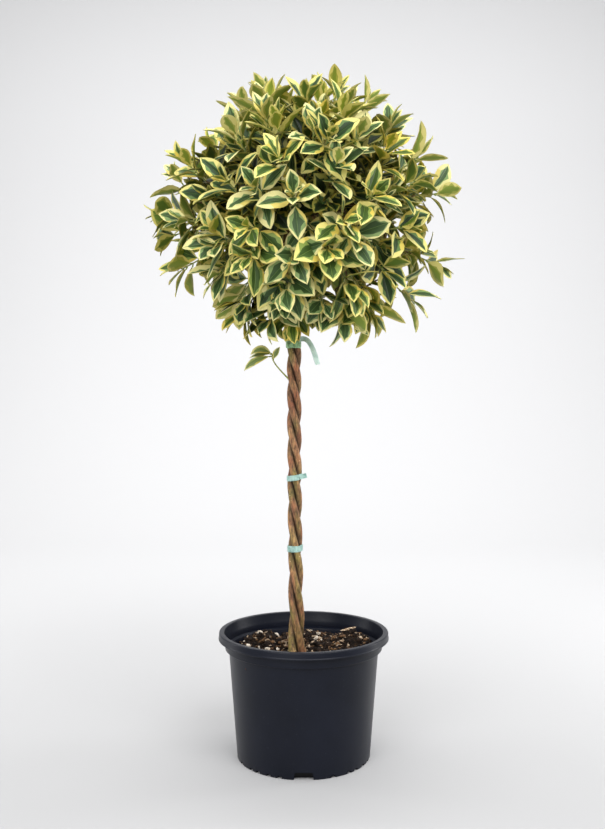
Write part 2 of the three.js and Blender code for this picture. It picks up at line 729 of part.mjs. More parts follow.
function makeMass(mass, shoots, boughTip, standing) {
  const draw = drawFrom(mass.seed);
  const seat = CROWN.clone().addScaledVector(mass.middle, (CORE_INNER + CORE_OUTER) / 2);
  const foot = boughTip.clone().addScaledVector(mass.middle, GAP);
  const solids = [
    solidOf(coreOf(mass)),
    solidOf(limb([foot, seat], [MASS_STEM_RADIUS, MASS_STEM_RADIUS], BOUGH_SIDES)),
  ];
  for (const shoot of shoots) {
    const tip = settle(mass, shoot.place);
    const inner = seat.clone().lerp(tip, THREE.MathUtils.lerp(...TWIG_START, draw()));
    const knee = tip.clone().addScaledVector(shoot.pointing, -SHOOT_LENGTH);
    const path = [inner, knee, tip];
    solids.push(solidOf(limb(path, [TWIG_RADIUS, TWIG_RADIUS, TWIG_TIP_RADIUS], 3)));
    if (shoot.long) {
      const lead = leafBlade(
        tip.clone().addScaledVector(shoot.pointing, -LEAF_SUNK),
        tip.clone().addScaledVector(shoot.pointing, LEAF_LENGTH[1]),
        squareTo(shoot.pointing).cross(shoot.pointing),
        LEAF_WIDTH,
      );
      solids.push(solidOf(lead.blade));
    }
    const turn = draw() * 360;
    LEAF_PAIRS.forEach((pair, i) => {
      const node = tip.clone().addScaledVector(shoot.pointing, -pair.back);
      solids.push(...leafPair(mass, node, shoot.pointing, turn + i * 90, pair, draw));
    });
  }
  return geometryOf(mainBody(clearOf(joined(solids), standing)));
}

// The sprig on the left of the stem: one thin twig with a few leaves near its tip.
function makeSprig(standing) {
  const strands = Array.from({ length: STEM_COUNT }, (_, i) => strandPoint(i, SPRIG_HEIGHT));
  const foot = strands.sort((a, b) => a.x - b.x)[0];
  foot.x -= stemRadius(SPRIG_HEIGHT);
  const tip = foot.clone().add(SPRIG_STEM);
  const radii = [SPRIG_RADIUS, SPRIG_RADIUS * SPRIG_TAPER];
  const solids = [solidOf(limb([foot, tip], radii, BOUGH_SIDES))];
  for (const leaf of SPRIG_LEAVES) {
    const root = foot.clone().lerp(tip, leaf.from).addScaledVector(SPRIG_STEM, -SPRIG_SUNK);
    const blade = leafBlade(root, foot.clone().add(leaf.to), SPRIG_FACE, leaf.width);
    solids.push(solidOf(blade.blade));
  }
  return geometryOf(mainBody(clearOf(joined(solids), standing)));
}

// ---- Assembly -----------------------------------------------------------------------------

const plant = new THREE.Group();

function place(name, geometry, material) {
  const mesh = new THREE.Mesh(geometry, material.clone());
  mesh.name = name;
  plant.add(mesh);
}

place("pot", makePot(), potMaterial);
place("soil", makeSoil(), soilMaterial);
for (let strand = 0; strand < STEM_COUNT; strand++) {
  place(`stem_${strand + 1}`, stemSolid(strand, 0), barkMaterial);
}
// Limbs with their clearance round them, which later boughs are cut clear of.
const standing = Array.from({ length: STEM_COUNT }, (_, strand) =>
  solidOf(stemSolid(strand, GAP)),
);
for (const tie of TIES) {
  place(tie.name, makeTie(tie, standing), tieMaterial);
}
place("sprig", makeSprig(standing), leafMaterial);

const shoots = planShoots();
masses.forEach((mass) => {
  // The bough springs from the nearest stem, higher for the masses that sit higher.
  const tip = CROWN.clone().addScaledVector(mass.middle, CORE_INNER - BOUGH_BACK);
  const rise = THREE.MathUtils.mapLinear(mass.middle.z, ...BOUGH_RISE_Z, ...BOUGH_RISE);
  const height = THREE.MathUtils.lerp(FORK_HEIGHT, STEM_TOP, rise);
  const springs = Array.from({ length: STEM_COUNT }, (_, strand) => strandPoint(strand, height));
  springs.sort((a, b) => a.distanceTo(tip) - b.distanceTo(tip));
  const start = springs[0];
  const leave = tip.clone().sub(start).normalize().addScaledVector(UP, BOUGH_LIFT).normalize();
  const path = sweep(start, leave, tip, mass.middle, BOUGH_STEPS);
  const radii = path.map((_, i) =>
    THREE.MathUtils.lerp(BOUGH_RADIUS, BOUGH_TIP_RADIUS, i / BOUGH_STEPS),
  );
  const bough = clearOf(solidOf(limb(path, radii, BOUGH_SIDES)), standing);
  const wide = radii.map((radius) => radius + GAP);
  standing.push(solidOf(limb(path, wide, BOUGH_SIDES)));
  place(`bough_${mass.name.replace("leaves_", "")}`, geometryOf(mainBody(bough)), barkMaterial);
  const own = shoots.filter((shoot) => shoot.mass === mass);
  place(mass.name, makeMass(mass, own, tip, standing), leafMaterial);
});

export default plant;
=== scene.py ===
"""A standard (lollipop) topiary of a variegated evergreen shrub in its round nursery pot.

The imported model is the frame. Its pieces are made again here with their fine shapes and finishes.
Lengths are in millimetres until a mesh is made from them.
"""

from collections import namedtuple
from math import asin, cos, degrees, exp, hypot, inf, pi, radians, sin, sqrt, tau

import bmesh
import bpy
import numpy as np
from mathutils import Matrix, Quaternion, Vector, noise
from numpy.linalg import norm


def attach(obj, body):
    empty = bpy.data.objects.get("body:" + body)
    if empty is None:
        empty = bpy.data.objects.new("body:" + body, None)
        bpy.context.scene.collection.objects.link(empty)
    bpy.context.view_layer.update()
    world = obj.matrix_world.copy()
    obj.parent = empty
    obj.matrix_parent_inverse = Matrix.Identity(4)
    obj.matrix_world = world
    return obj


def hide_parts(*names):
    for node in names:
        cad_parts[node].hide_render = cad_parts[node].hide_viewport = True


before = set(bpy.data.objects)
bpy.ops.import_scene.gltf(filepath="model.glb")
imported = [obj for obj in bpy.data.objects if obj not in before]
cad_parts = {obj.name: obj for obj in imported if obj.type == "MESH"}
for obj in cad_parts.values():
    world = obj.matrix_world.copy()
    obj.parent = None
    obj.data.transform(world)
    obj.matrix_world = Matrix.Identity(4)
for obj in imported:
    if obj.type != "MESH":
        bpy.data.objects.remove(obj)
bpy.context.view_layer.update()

MM = 0.001
UP = np.array([0, 0, 1.0])

# ---- The plant's own sizes, as in its source ----

POT_HEIGHT = 162
FOOT_RADIUS = 86.2
NECK_RADIUS = 97
COLLAR_BOTTOM = 140.4
COLLAR_RADIUS = 101.7
RIM_BOTTOM = 152.8
RIM_RADIUS = 110.3
RIM_INNER_RADIUS = 102.8
POT_WALL = 2
POT_FLOOR = 3
NOTCH_BEARINGS = (0, 90, 180, 270)
NOTCH_WIDTH = 25
NOTCH_HEIGHT = 9.5
NOTCH_DEPTH = 9
SLOT_OFFSETS = (25, 41, 49, 60, 70)
SLOT_WIDTH = 7
SLOT_HEIGHT = 3
BAND_HEIGHT = 12.5
BAND_INNER_RADIUS = 74.7

SOIL_LEVEL = 132
SOIL_MOUNDS = [(-52, 26, 21, 26), (64, 28, 23, 26), (8, 62, 10, 30)]  # x, y, height, spread

STEM_COUNT = 3
STEM_FOOT_RADIUS = 4.7
STEM_RADIUS = 4.15
STEM_FLARE = 1.1
STEM_FLARE_HEIGHT = 14
AXIS_FOOT_X = -8.5
AXIS_LEAN = -3.9
TWIST_TOP_PITCH = 100
TWIST_FOOT_PITCH = 190
TWIST_PHASE = 120
TWIST_TOP = 519
FORK_HEIGHT = 556
STEM_TOP = 662
STEM_TIP_RADIUS = 2.7
STEM_SPREAD = 22
LOW_TIE = 269
MIDDLE_TIE = 361
TOP_TIE = 534

CROWN = np.array([-1.0, 0, 714])
CROWN_RADIUS = 186
CROWN_UP = 158
CROWN_DOWN = 180
CORE_INNER = 52
CORE_OUTER = 124
TRUNK_CLEARANCE = 17
SPRIG_HEIGHT = 487

# Shoots that stand out of the globe: bearing, elevation, reach, turn of the first leaf pair, size.
LONG_SHOOTS = [
    (180, -5, 210, 20, 1), (176, -13, 207, 70, 1), (184, -29, 208, 40, 1), (0, 4, 208, 75, 1),
    (4, -24, 222, 30, 1), (-4, -42, 218, 10, 1.1), (0, 73, 184, 75, 1.25), (180, 71, 180, 75, 1.15),
    (0, 57, 182, 50, 1), (-112, -77, 184, 80, 0.8), (-8, -58, 204, 15, 1.15), (-38, -66, 200, 45, 1.15),
    (-142, -71, 194, 35, 1.05), (-166, -62, 196, 60, 1.1), (90, 8, 204, 60, 1), (-80, 14, 200, 35, 1),
]

# Rosettes that lead the crown's front: bearing, elevation, how far they look up, turn, size.
FRONT_SHOOTS = [
    (-95, -34, 0.1, 35, 1), (-72, -18, 0.3, 20, 1.05), (-115, -20, 0.3, 50, 0.88), (-94, -8, 0.3, 15, 0.9),
    (-100, 8, 0.5, 40, 1), (-76, 5, 0.5, 10, 0.98), (-124, 0, 0.5, 60, 1.05), (-110, -4, 0.3, 30, 0.92),
    (-56, -49, 0, 70, 1.12), (-69, 32, 0.6, 15, 1.15), (-110, 31, 0.6, 55, 1.05), (-49, 15, 0.6, 25, 1.05),
    (-35, -17, 0.3, 45, 1), (-162, -11, 0.3, 65, 1.05), (-78, -30, 0, 5, 1.18), (-65, -25, 0.1, 40, 1.05),
    (-118, -33, 0, 10, 1.1), (-102, -51, 0, 30, 1.08), (-137, -26, 0.1, 75, 1.12), (-85, 21, 0.6, 45, 1),
    (-102, 24, 0.6, 5, 1.05), (-64, 20, 0.6, 80, 1.05), (-124, 23, 0.6, 20, 1), (-59, -6, 0.3, 60, 1.05),
    (-146, -39, 0, 35, 1.1), (-36, -38, 0, 15, 1.05), (-108, -60, 0, 20, 0.85), (-70, -62, 0, 65, 0.85),
    (-150, -58, 0, 40, 1), (-20, -60, 0, 10, 1), (-88, 46, 0.6, 60, 1), (-122, 48, 0.6, 30, 1.05),
    (-55, 50, 0.6, 75, 1),
]

# Masses on top, above the waist and below it: elevation, first bearing, count.
MASS_RINGS = [("top", 90, 0, 1), ("upper", 27, 0, 4), ("lower", -30, -90, 5)]

BOUGH_RADIUS = 2.7
BOUGH_TIP_RADIUS = 1.9

# ---- Small helpers ----


def vector(x, y, z):
    return np.array([x, y, z], dtype=float)


def unit(way):
    return way / norm(way)


def direction(bearing, elevation):
    """The unit vector at a bearing round the Z axis and an elevation, in degrees."""
    turn, tilt = radians(bearing), radians(elevation)
    level = cos(tilt)
    return vector(level * cos(turn), level * sin(turn), sin(tilt))


def square_to(way):
    other = UP if abs(way[2]) < 0.9 else vector(1, 0, 0)
    return unit(np.cross(other, way))


def lerp(a, b, share):
    return a + (b - a) * share


def clamp(value, low=0, high=1):
    return max(low, min(high, value))


def smoothstep(value, low, high):
    share = clamp((value - low) / (high - low))
    return share * share * (3 - 2 * share)


def circle(radius, count):
    """Points round a circle, as x and y."""
    turns = [k / count * tau for k in range(count)]
    return [(radius * cos(turn), radius * sin(turn)) for turn in turns]


def bezier(start, first, second, end, steps):
    shares = np.linspace(0, 1, steps + 1)[:, None]
    rest = 1 - shares
    return start * rest**3 + first * 3 * shares * rest**2 + second * 3 * shares**2 * rest + end * shares**3


def sweep(start, leave, end, arrive, steps):
    """A gentle curve that leaves start and comes to end along given directions."""
    pull = norm(end - start) * 0.35
    return bezier(start, start + leave * pull, end - arrive * pull, end, steps)


def ripple(point, scale, seed=0):
    """Smooth noise from -1 to 1, with features of a size in millimetres."""
    return noise.noise(Vector(point) / scale + Vector((seed, seed * 0.7, -seed)))


def drawn_from(state):
    """The source's own seeded draw of numbers from 0 to 1."""
    mask = 0xFFFFFFFF

    def draw():
        nonlocal state
        state = (state + 0x6D2B79F5) & mask
        mixed = ((state ^ (state >> 15)) * (1 | state)) & mask
        mixed ^= (mixed + (mixed ^ (mixed >> 7)) * (61 | mixed)) & mask
        return (mixed ^ (mixed >> 14)) / (mask + 1)

    return draw


def srgb(*colour):
    """A screen colour from 0 to 255, as linear values."""
    shares = [value / 255 for value in colour]
    linear = [s / 12.92 if s <= 0.04045 else ((s + 0.055) / 1.055) ** 2.4 for s in shares]
    return (*linear, 1)


# ---- Meshes ----


def add_object(name, data):
    made = bpy.data.objects.new(name, data)
    bpy.context.scene.collection.objects.link(made)
    return made


def mesh_piece(name, points, faces, materials=(), kinds=None, sharp=None):
    """A smooth object from corners in millimetres, with a material's index for each face.

    Edges that bend by more than `sharp`, in degrees, stay sharp.
    """
    mesh = bpy.data.meshes.new(name)
    mesh.from_pydata(np.asarray(points) * MM, [], faces)
    for material in materials:
        mesh.materials.append(material)
    if kinds is not None:
        mesh.polygons.foreach_set("material_index", np.asarray(kinds, dtype=np.int32))
    mesh.validate()
    mesh.shade_smooth()
    if sharp is not None:
        mesh.set_sharp_from_angle(angle=radians(sharp))
    return add_object(name, mesh)


def settle_in(piece, slot, *nodes):
    """The piece rides with the plant and stands for CAD nodes, which it hides. The slot is not used."""
    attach(piece, "root")
    if nodes:
        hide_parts(*nodes)


def heading(path, i):
    return unit(path[min(i + 1, len(path) - 1)] - path[max(i - 1, 0)])


def tube_grid(path, radii, sides, relief=None):
    """Rings of points round a path, with no twist from ring to ring."""
    rings = []
    across = square_to(heading(path, 0))
    for i, point in enumerate(path):
        along = heading(path, i)
        across = unit(across - along * (across @ along))
        third = np.cross(along, across)
        for cosine, sine in circle(1, sides):
            out = across * cosine + third * sine
            radius = radii[i] + (relief(point + out * radii[i]) if relief else 0)
            rings.append(point + out * radius)
    return np.array(rings)


def ring_faces(rings, sides, inward=False, closed=False):
    """Quads from each ring of points to the next, and back to the first if closed."""
    faces = []
    for i in range(rings if closed else rings - 1):
        here, there = i * sides, (i + 1) % rings * sides
        for side in range(sides):
            after = (side + 1) % sides
            face = (here + side, here + after, there + after, there + side)
            faces.append((face[0], *face[:0:-1]) if inward else face)
    return faces


def cap_faces(sides):
    """Quads folded across a ring of points."""
    return np.array([(k, k + 1, sides - 2 - k, sides - 1 - k) for k in range(sides // 2 - 1)])


def tube_faces(rings, sides, inward=False):
    """Quads round a tube of rings that is closed at both ends."""
    turn = -1 if inward else 1
    near = cap_faces(sides)[:, ::-turn]
    far = cap_faces(sides)[:, ::turn] + (rings - 1) * sides
    return np.concatenate([ring_faces(rings, sides, inward), near, far])


# ---- Materials ----

BLACK = (0, 0, 0, 1)
WHITE = (1, 1, 1, 1)


def grey(share):
    return (share, share, share, 1)


class Finish:
    """A Principled material with plain values, and the nodes that then feed its shader."""

    def __init__(self, name, colour, roughness, specular=0.5):
        self.material = bpy.data.materials.new(name)
        self.material.use_nodes = True
        self.tree = self.material.node_tree
        self.shader = self.tree.nodes["Principled BSDF"]
        values = {"Base Color": colour, "Roughness": roughness, "Specular IOR Level": specular}
        self.feed(self.shader, values)

    def feed(self, node, values):
        for socket, value in values.items():
            if isinstance(value, bpy.types.NodeSocket):
                self.tree.links.new(value, node.inputs[socket])
            else:
                node.inputs[socket].default_value = value

    def node(self, kind, output, values, **settings):
        """The output of a new node with its inputs and its settings."""
        node = self.tree.nodes.new("ShaderNode" + kind)
        for key, value in settings.items():
            setattr(node, key, value)
        self.feed(node, values)
        return node.outputs[output]

    def points(self, squeeze=1):
        """Object coordinates. A squeeze below 1 draws patterns out along Z."""
        place = self.node("TexCoord", "Object", {})
        return self.node("Mapping", "Vector", {"Vector": place, "Scale": (1, 1, squeeze)})

    def noise(self, scale, detail=3, roughness=0.55, squeeze=1):
        values = {"Vector": self.points(squeeze), "Scale": scale, "Detail": detail, "Roughness": roughness}
        return self.node("TexNoise", "Fac", values)

    def ramp(self, value, *stops):
        """A colour ramp with (place, colour) stops."""
        colour = self.node("ValToRGB", "Color", {"Fac": value})
        elements = colour.node.color_ramp.elements
        while len(elements) < len(stops):
            elements.new(0.5)
        for element, (place, shade) in zip(elements, stops):
            element.position = place
            element.color = shade
        return colour

    def mix(self, share, first, second, blend="MIX"):
        """Two colours mixed, by the numbers of the node's colour sockets."""
        values = {0: share, 6: first, 7: second}
        return self.node("Mix", 2, values, data_type="RGBA", blend_type=blend)

    def done(self, colour, height, strength, depth, **others):
        """The material, with its colour, and a bump of a depth in millimetres."""
        values = {"Height": height, "Strength": strength, "Distance": depth * MM}
        bump = self.node("Bump", "Normal", values)
        self.feed(self.shader, {"Base Color": colour, "Normal": bump, **others})
        return self.material


def pot_material(name, dark, light, dusty):
    """Recycled plastic: blue-black, faintly mottled, with dust in a fine moulded grain."""
    finish = Finish(name, light, 0.42, 0.22)
    cloud = finish.noise(14, 4)
    base = finish.ramp(cloud, (0.35, dark), (0.7, light))
    specks = finish.ramp(finish.noise(420, 2), (0.68, BLACK), (0.78, grey(0.35)))
    rough = finish.ramp(cloud, (0.3, grey(0.33)), (0.75, grey(0.46)))
    colour = finish.mix(specks, base, dusty)
    return finish.done(colour, finish.noise(900, 2), 0.25, 0.12, Roughness=rough)


def soil_material():
    finish = Finish("potting_mix", srgb(38, 28, 22), 0.95, 0.15)
    stops = [(0.35, srgb(8, 5, 3)), (0.54, srgb(26, 18, 12)), (0.7, srgb(64, 46, 30))]
    colour = finish.ramp(finish.noise(260, 5, 0.7), *stops)
    return finish.done(colour, finish.noise(520, 4), 1, 1.6)


def crumb_material(name, dark, light, scale=300):
    """Dull grains of two shades, rough to three times as fine."""
    finish = Finish(name, light, 0.9, 0.2)
    colour = finish.ramp(finish.noise(scale), (0.38, dark), (0.62, light))
    return finish.done(colour, finish.noise(scale * 3), 0.6, 0.4)


def bark_material(name, brown, red, olive):
    """Smooth bark of new growth with reddish and olive stretches, streaks and pale flecks, and painted
    shade in the folds between the strands.
    """
    finish = Finish(name, brown, 0.72)
    tint = finish.ramp(finish.noise(75, 2, 0.5, 0.3), (0.36, red), (0.5, brown), (0.66, olive))
    streaks = finish.noise(520, 4, 0.6, 0.22)
    shade = finish.ramp(streaks, (0.34, srgb(92, 76, 62)), (0.66, srgb(255, 250, 240)))
    streaked = finish.mix(0.9, tint, shade, "MULTIPLY")
    cells = finish.node("TexVoronoi", "Distance", {"Vector": finish.points(), "Scale": 210})
    fleck = finish.ramp(cells, (0.09, WHITE), (0.16, BLACK))
    sparse = finish.ramp(finish.noise(60, 2), (0.5, BLACK), (0.6, WHITE))
    flecked = finish.mix(finish.mix(1, fleck, sparse, "MULTIPLY"), streaked, srgb(214, 190, 150))
    # Painted shade: the fold attribute darkens the bark towards the folds between the strands.
    fold = finish.node("Attribute", "Fac", {}, attribute_name="fold")
    return finish.done(finish.mix(fold, flecked, srgb(26, 15, 8)), streaks, 0.8, 0.6)


def tie_material(name, colour, worn):
    """Soft foamed tape, faintly mottled and rubbed."""
    finish = Finish(name, colour, 0.62)
    mottled = finish.ramp(finish.noise(190, 4, 0.65), (0.36, worn), (0.6, colour))
    return finish.done(mottled, finish.noise(800), 0.5, 0.4)


POT = pot_material("pot_plastic", srgb(9, 13, 24), srgb(15, 19, 31), srgb(66, 69, 78))
# A near-black copy of the pot's plastic, as painted shade in the notches.
POT_PAINTED_SHADE = pot_material("pot_recess_shade", srgb(2, 3, 5), srgb(4, 4, 7), srgb(16, 15, 15))
SOIL = soil_material()
CRUMBS = [
    crumb_material("crumb_dark", srgb(10, 6, 4), srgb(38, 26, 18)),
    crumb_material("crumb_brown", srgb(48, 33, 21), srgb(112, 84, 58)),
    crumb_material("crumb_tan", srgb(112, 90, 70), srgb(186, 166, 142)),
    crumb_material("crumb_perlite", srgb(160, 146, 128), srgb(220, 210, 196), 420),
]
BARKS = [
    bark_material("bark_1", srgb(172, 130, 88), srgb(160, 102, 70), srgb(146, 128, 70)),
    bark_material("bark_2", srgb(184, 144, 100), srgb(170, 110, 76), srgb(154, 136, 76)),
    bark_material("bark_3", srgb(160, 120, 80), srgb(158, 100, 70), srgb(136, 124, 66)),
]
TWIG_BARK = Finish("twig_bark", srgb(112, 92, 58), 0.75).material
TWIG_GREEN = Finish("twig_green", srgb(142, 148, 84), 0.6).material
SPRIG_GREEN = crumb_material("sprig_green", srgb(120, 124, 66), srgb(158, 162, 98), 420)
TIE_MINT = tie_material("tie_mint", srgb(158, 192, 183), srgb(118, 154, 145))
# A lighter copy of the mint tape, as painted light on the top tie's end in the crown's shade.
TIE_MINT_LIT = tie_material("tie_mint_lit", srgb(214, 238, 228), srgb(184, 216, 204))
TIE_GREEN = tie_material("tie_green", srgb(158, 200, 150), srgb(80, 112, 66))

# Leaf tones: heart, patch beside the midrib, and margin.
LEAF_TONES = {
    "cream": ((54, 78, 40), (124, 148, 90), (219, 211, 144)),
    "lemon": ((58, 82, 32), (130, 150, 74), (220, 208, 122)),
    "deep": ((36, 58, 26), (88, 116, 60), (208, 199, 118)),
    "gold": ((62, 84, 20), (120, 134, 44), (214, 194, 96)),
    # This tone is painted light: paler leaves on the crown's top, where the light falls most.
    "lit_top": ((70, 94, 36), (124, 144, 66), (222, 213, 130)),
    # This tone is painted shade: near-black leaves deep inside the crown.
    "shade": ((18, 32, 8), (44, 62, 22), (136, 132, 58)),
    "pale": ((100, 116, 58), (138, 148, 84), (202, 196, 128)),
}
TONES = list(LEAF_TONES)
WARM_SIDE = (0.97, 0.92, 0.72)  # the warmer half of a margin, as a share of its colour
UNDER_SHARE = (1.04, 1, 0.74)  # the leaf underneath, as a share of the patch: its own paler colour, lightened and yellowed as painted light shining through
UNDER_MARGIN_SHARE = (1, 0.99, 0.93)


def shades(tone):
    """The colours of a leaf's parts, from the three of its tone."""
    heart, patch, margin = (np.array(colour) for colour in LEAF_TONES[tone])
    warm, under = margin * WARM_SIDE, patch * UNDER_SHARE
    below = [under, lerp(under, warm, 0.4), margin * UNDER_MARGIN_SHARE]
    return [heart, patch, margin, warm, lerp(heart, patch, 0.65), *below]


PARTS = "heart patch margin warm_margin midrib under under_patch under_margin".split()
HEART, PATCH, MARGIN, WARM_MARGIN, MIDRIB, UNDER, UNDER_PATCH, UNDER_MARGIN = range(len(PARTS))
LEAVES = [
    Finish(f"leaf_{tone}_{part}", srgb(*colour), 0.5, 0.32).material
    for tone in TONES
    for part, colour in zip(PARTS, shades(tone))
]

# ---- Camera, light and floor ----

CAMERA_PLACE = (-1.5, -1228, 472.4)
CAMERA_TILT = 1.4  # degrees down
FOCAL_PIXELS = 950
PICTURE_HEIGHT = 829

WORLD_LIGHT = 0.48
LIGHTS = [  # name, place and target in metres, size, power
    ("key", (1.1, -1.8, 2.1), (0, 0, 0.7), (1.8, 1.8), 45),
    ("fill", (-0.9, -2, 1.1), (0.1, -0.3, 0.1), (1.4, 1.2), 28),
    ("top", (0, -0.9, 2.4), (0, 0, 0.6), (2.4, 1.8), 27),
    ("right_edge", (1.3, 0.35, 0.5), (0, 0, 0.15), (0.35, 1), 8),
    ("left_edge", (-1.3, 0.35, 0.5), (0, 0, 0.15), (0.35, 1), 5),
    ("backdrop", (0, 1.1, 2.1), (0, 3, 0.1), (4.2, 0.6), 113),
]


def make_camera():
    data = bpy.data.cameras.new("camera")
    data.lens = FOCAL_PIXELS * data.sensor_width / PICTURE_HEIGHT
    camera = add_object("camera", data)
    camera.location = Vector(CAMERA_PLACE) * MM
    camera.rotation_euler = (radians(90 - CAMERA_TILT), 0, 0)
    bpy.context.scene.camera = camera


def make_lights():
    world = bpy.data.worlds.new("studio")
    world.use_nodes = True
    background = world.node_tree.nodes["Background"]
    background.inputs["Color"].default_value = WHITE
    background.inputs["Strength"].default_value = WORLD_LIGHT
    bpy.context.scene.world = world
    for name, place, target, size, power in LIGHTS:
        data = bpy.data.lights.new(name, "AREA")
        data.shape = "RECTANGLE"
        data.size, data.size_y = size
        data.energy = power
        light = add_object(name, data)
        light.location = place
        way = Vector(target) - light.location
        light.rotation_euler = way.to_track_quat("-Z", "Y").to_euler()


def make_stage():
    """A pale floor that curves up into a pale wall behind."""
    wide, front, back, tall, bend = 7, -6, 3.2, 5, 1.6
    curve = [(back - bend * (1 - sin(t)), bend * (1 - cos(t))) for t in np.linspace(0, pi / 2, 17)]
    profile = [(front, 0), *curve, (back, tall)]
    points = [(x / MM, y / MM, z / MM) for y, z in profile for x in (-wide, wide)]
    quads = [(2 * i, 2 * i + 1, 2 * i + 3, 2 * i + 2) for i in range(len(profile) - 1)]
    paper = Finish("studio_paper", srgb(172, 172, 173), 0.9).material
    mesh_piece("studio_floor", points, quads, [paper])


make_camera()
make_stage()
make_lights()
bpy.context.scene.view_settings.view_transform = "Standard"

# ---- Pot ----

POT_SEGMENTS = 192
LIP = 0.7  # the rim's lower edge stands this far out of its band
# Radii of round edges.
FOOT_EDGE = 1.2
COLLAR_EDGE = 1
BAND_EDGE = 0.9
RIM_EDGE = 1.6
RIM_INNER_EDGE = 1.2
NOTCH_EDGE = 0.2  # as a share of a notch's smaller side
NOTCH_SLANT = 0.15  # its sides lean in by this share of its height
# Notch faces below this height get painted shade.
PAINTED_SHADE_TOP = NOTCH_HEIGHT + 0.5


def arc(centre, radius, start, end, steps=4):
    """Points on an arc, from one angle to another in degrees."""
    turns = np.radians(np.linspace(start, end, steps + 1))
    return [(centre[0] + radius * cos(t), centre[1] + radius * sin(t)) for t in turns]


def pot_inside(height):
    return lerp(FOOT_RADIUS, NECK_RADIUS, height / COLLAR_BOTTOM) - POT_WALL


def pot_section():
    """The pot's section, from the middle of its underside round to that of its floor."""
    outline = [(0, 0), (FOOT_RADIUS - 6, 0)]
    outline += arc((FOOT_RADIUS - FOOT_EDGE, FOOT_EDGE), FOOT_EDGE, -90, -5)
    # Rings above the notches keep the cuts from shading the tall wall.
    foot, neck = outline[-1], (NECK_RADIUS - 0.4, COLLAR_BOTTOM - 4)
    for height in (NOTCH_HEIGHT + 2.5, NOTCH_HEIGHT + 6.5, 60):
        share = (height - foot[1]) / (neck[1] - foot[1])
        outline.append((lerp(foot[0], neck[0], share), height))
    outline += [neck, (NECK_RADIUS, COLLAR_BOTTOM - 1.2)]
    outline += arc((COLLAR_RADIUS - COLLAR_EDGE, COLLAR_BOTTOM + COLLAR_EDGE), COLLAR_EDGE, -90, 0)
    outline += [(COLLAR_RADIUS - 0.2, RIM_BOTTOM - 1.5), (COLLAR_RADIUS + 1.6, RIM_BOTTOM - 0.1)]
    outline += arc((RIM_RADIUS - BAND_EDGE, RIM_BOTTOM + BAND_EDGE), BAND_EDGE, -90, 60)
    outline += [(RIM_RADIUS - LIP, RIM_BOTTOM + 2.8)]
    outline += arc((RIM_RADIUS - LIP - RIM_EDGE, POT_HEIGHT - RIM_EDGE), RIM_EDGE, 0, 90)
    inner_edge = (RIM_INNER_RADIUS + RIM_INNER_EDGE, POT_HEIGHT - RIM_INNER_EDGE)
    outline += arc(inner_edge, RIM_INNER_EDGE, 90, 185)
    inner_collar, inner_neck = COLLAR_RADIUS - POT_WALL, NECK_RADIUS - POT_WALL
    outline += [(inner_collar + 0.6, RIM_BOTTOM - 2), (inner_collar, RIM_BOTTOM - 4)]
    outline += [(inner_collar, COLLAR_BOTTOM + 2.2), (inner_neck + 0.5, COLLAR_BOTTOM + 0.6)]
    outline += [(inner_neck, COLLAR_BOTTOM - 1.2), (pot_inside(BAND_HEIGHT), BAND_HEIGHT)]
    outline += [(BAND_INNER_RADIUS, BAND_HEIGHT), (BAND_INNER_RADIUS, POT_FLOOR), (0, POT_FLOOR)]
    return outline


def notch_outline(width, height):
    """A notch's front, with round upper corners, as x and z."""
    bend = min(width, height) * NOTCH_EDGE
    half = width / 2
    side = half - height * NOTCH_SLANT - bend
    top = height - bend
    return [(-half, -2), (half, -2)] + arc((side, top), bend, 0, 90) + arc((-side, top), bend, 90, 180)


def make_cutters():
    """Wedges that cut the notches and slots through the pot's foot."""
    cuts = [(bearing, NOTCH_WIDTH, NOTCH_HEIGHT) for bearing in NOTCH_BEARINGS]
    slots = [bearing + offset for bearing in NOTCH_BEARINGS for offset in SLOT_OFFSETS]
    cuts += [(bearing, SLOT_WIDTH, SLOT_HEIGHT) for bearing in slots]
    points, faces = [], []
    for bearing, width, height in cuts:
        outline = notch_outline(width, height)
        count = len(outline)
        ends = [range(count)[::-1], range(count, 2 * count)]
        faces += [[len(points) + corner for corner in face] for face in ring_faces(2, count) + ends]
        out, along = direction(bearing, 0), direction(bearing + 90, 0)
        for depth in (FOOT_RADIUS - NOTCH_DEPTH, FOOT_RADIUS + 4):
            points += [out * depth + along * x + UP * z for x, z in outline]
    return mesh_piece("notches", points, faces)


def make_pot():
    section = pot_section()
    rings = section[1:-1]
    points = [(x, y, height) for radius, height in rings for x, y in circle(radius, POT_SEGMENTS)]
    faces = ring_faces(len(rings), POT_SEGMENTS)
    centre, last = len(points), len(points) - POT_SEGMENTS
    points += [(0, 0, section[0][1]), (0, 0, section[-1][1])]
    for k in range(POT_SEGMENTS):
        after = (k + 1) % POT_SEGMENTS
        faces += [(centre, after, k), (centre + 1, last + k, last + after)]
    pot = mesh_piece("pot_shell", points, faces, [POT, POT_PAINTED_SHADE])
    cutters = make_cutters()
    boolean = pot.modifiers.new("notches", "BOOLEAN")
    boolean.operation = "DIFFERENCE"
    boolean.solver = "EXACT"
    boolean.object = cutters
    cut = bpy.data.meshes.new_from_object(pot.evaluated_get(bpy.context.evaluated_depsgraph_get()))
    pot.modifiers.clear()
    pot.data = cut
    bpy.data.objects.remove(cutters)
    cut.shade_smooth()
    cut.set_sharp_from_angle(angle=radians(32))
    # The notches' own faces get painted shade, nearly black, for the shade in the recesses.
    for face in cut.polygons:
        x, y, z = face.center / MM
        if hypot(x, y) < FOOT_RADIUS - 1 and 0.1 < z < PAINTED_SHADE_TOP:
            face.material_index = 1
    settle_in(pot, "pot", "pot")


make_pot()

# ---- Soil ----

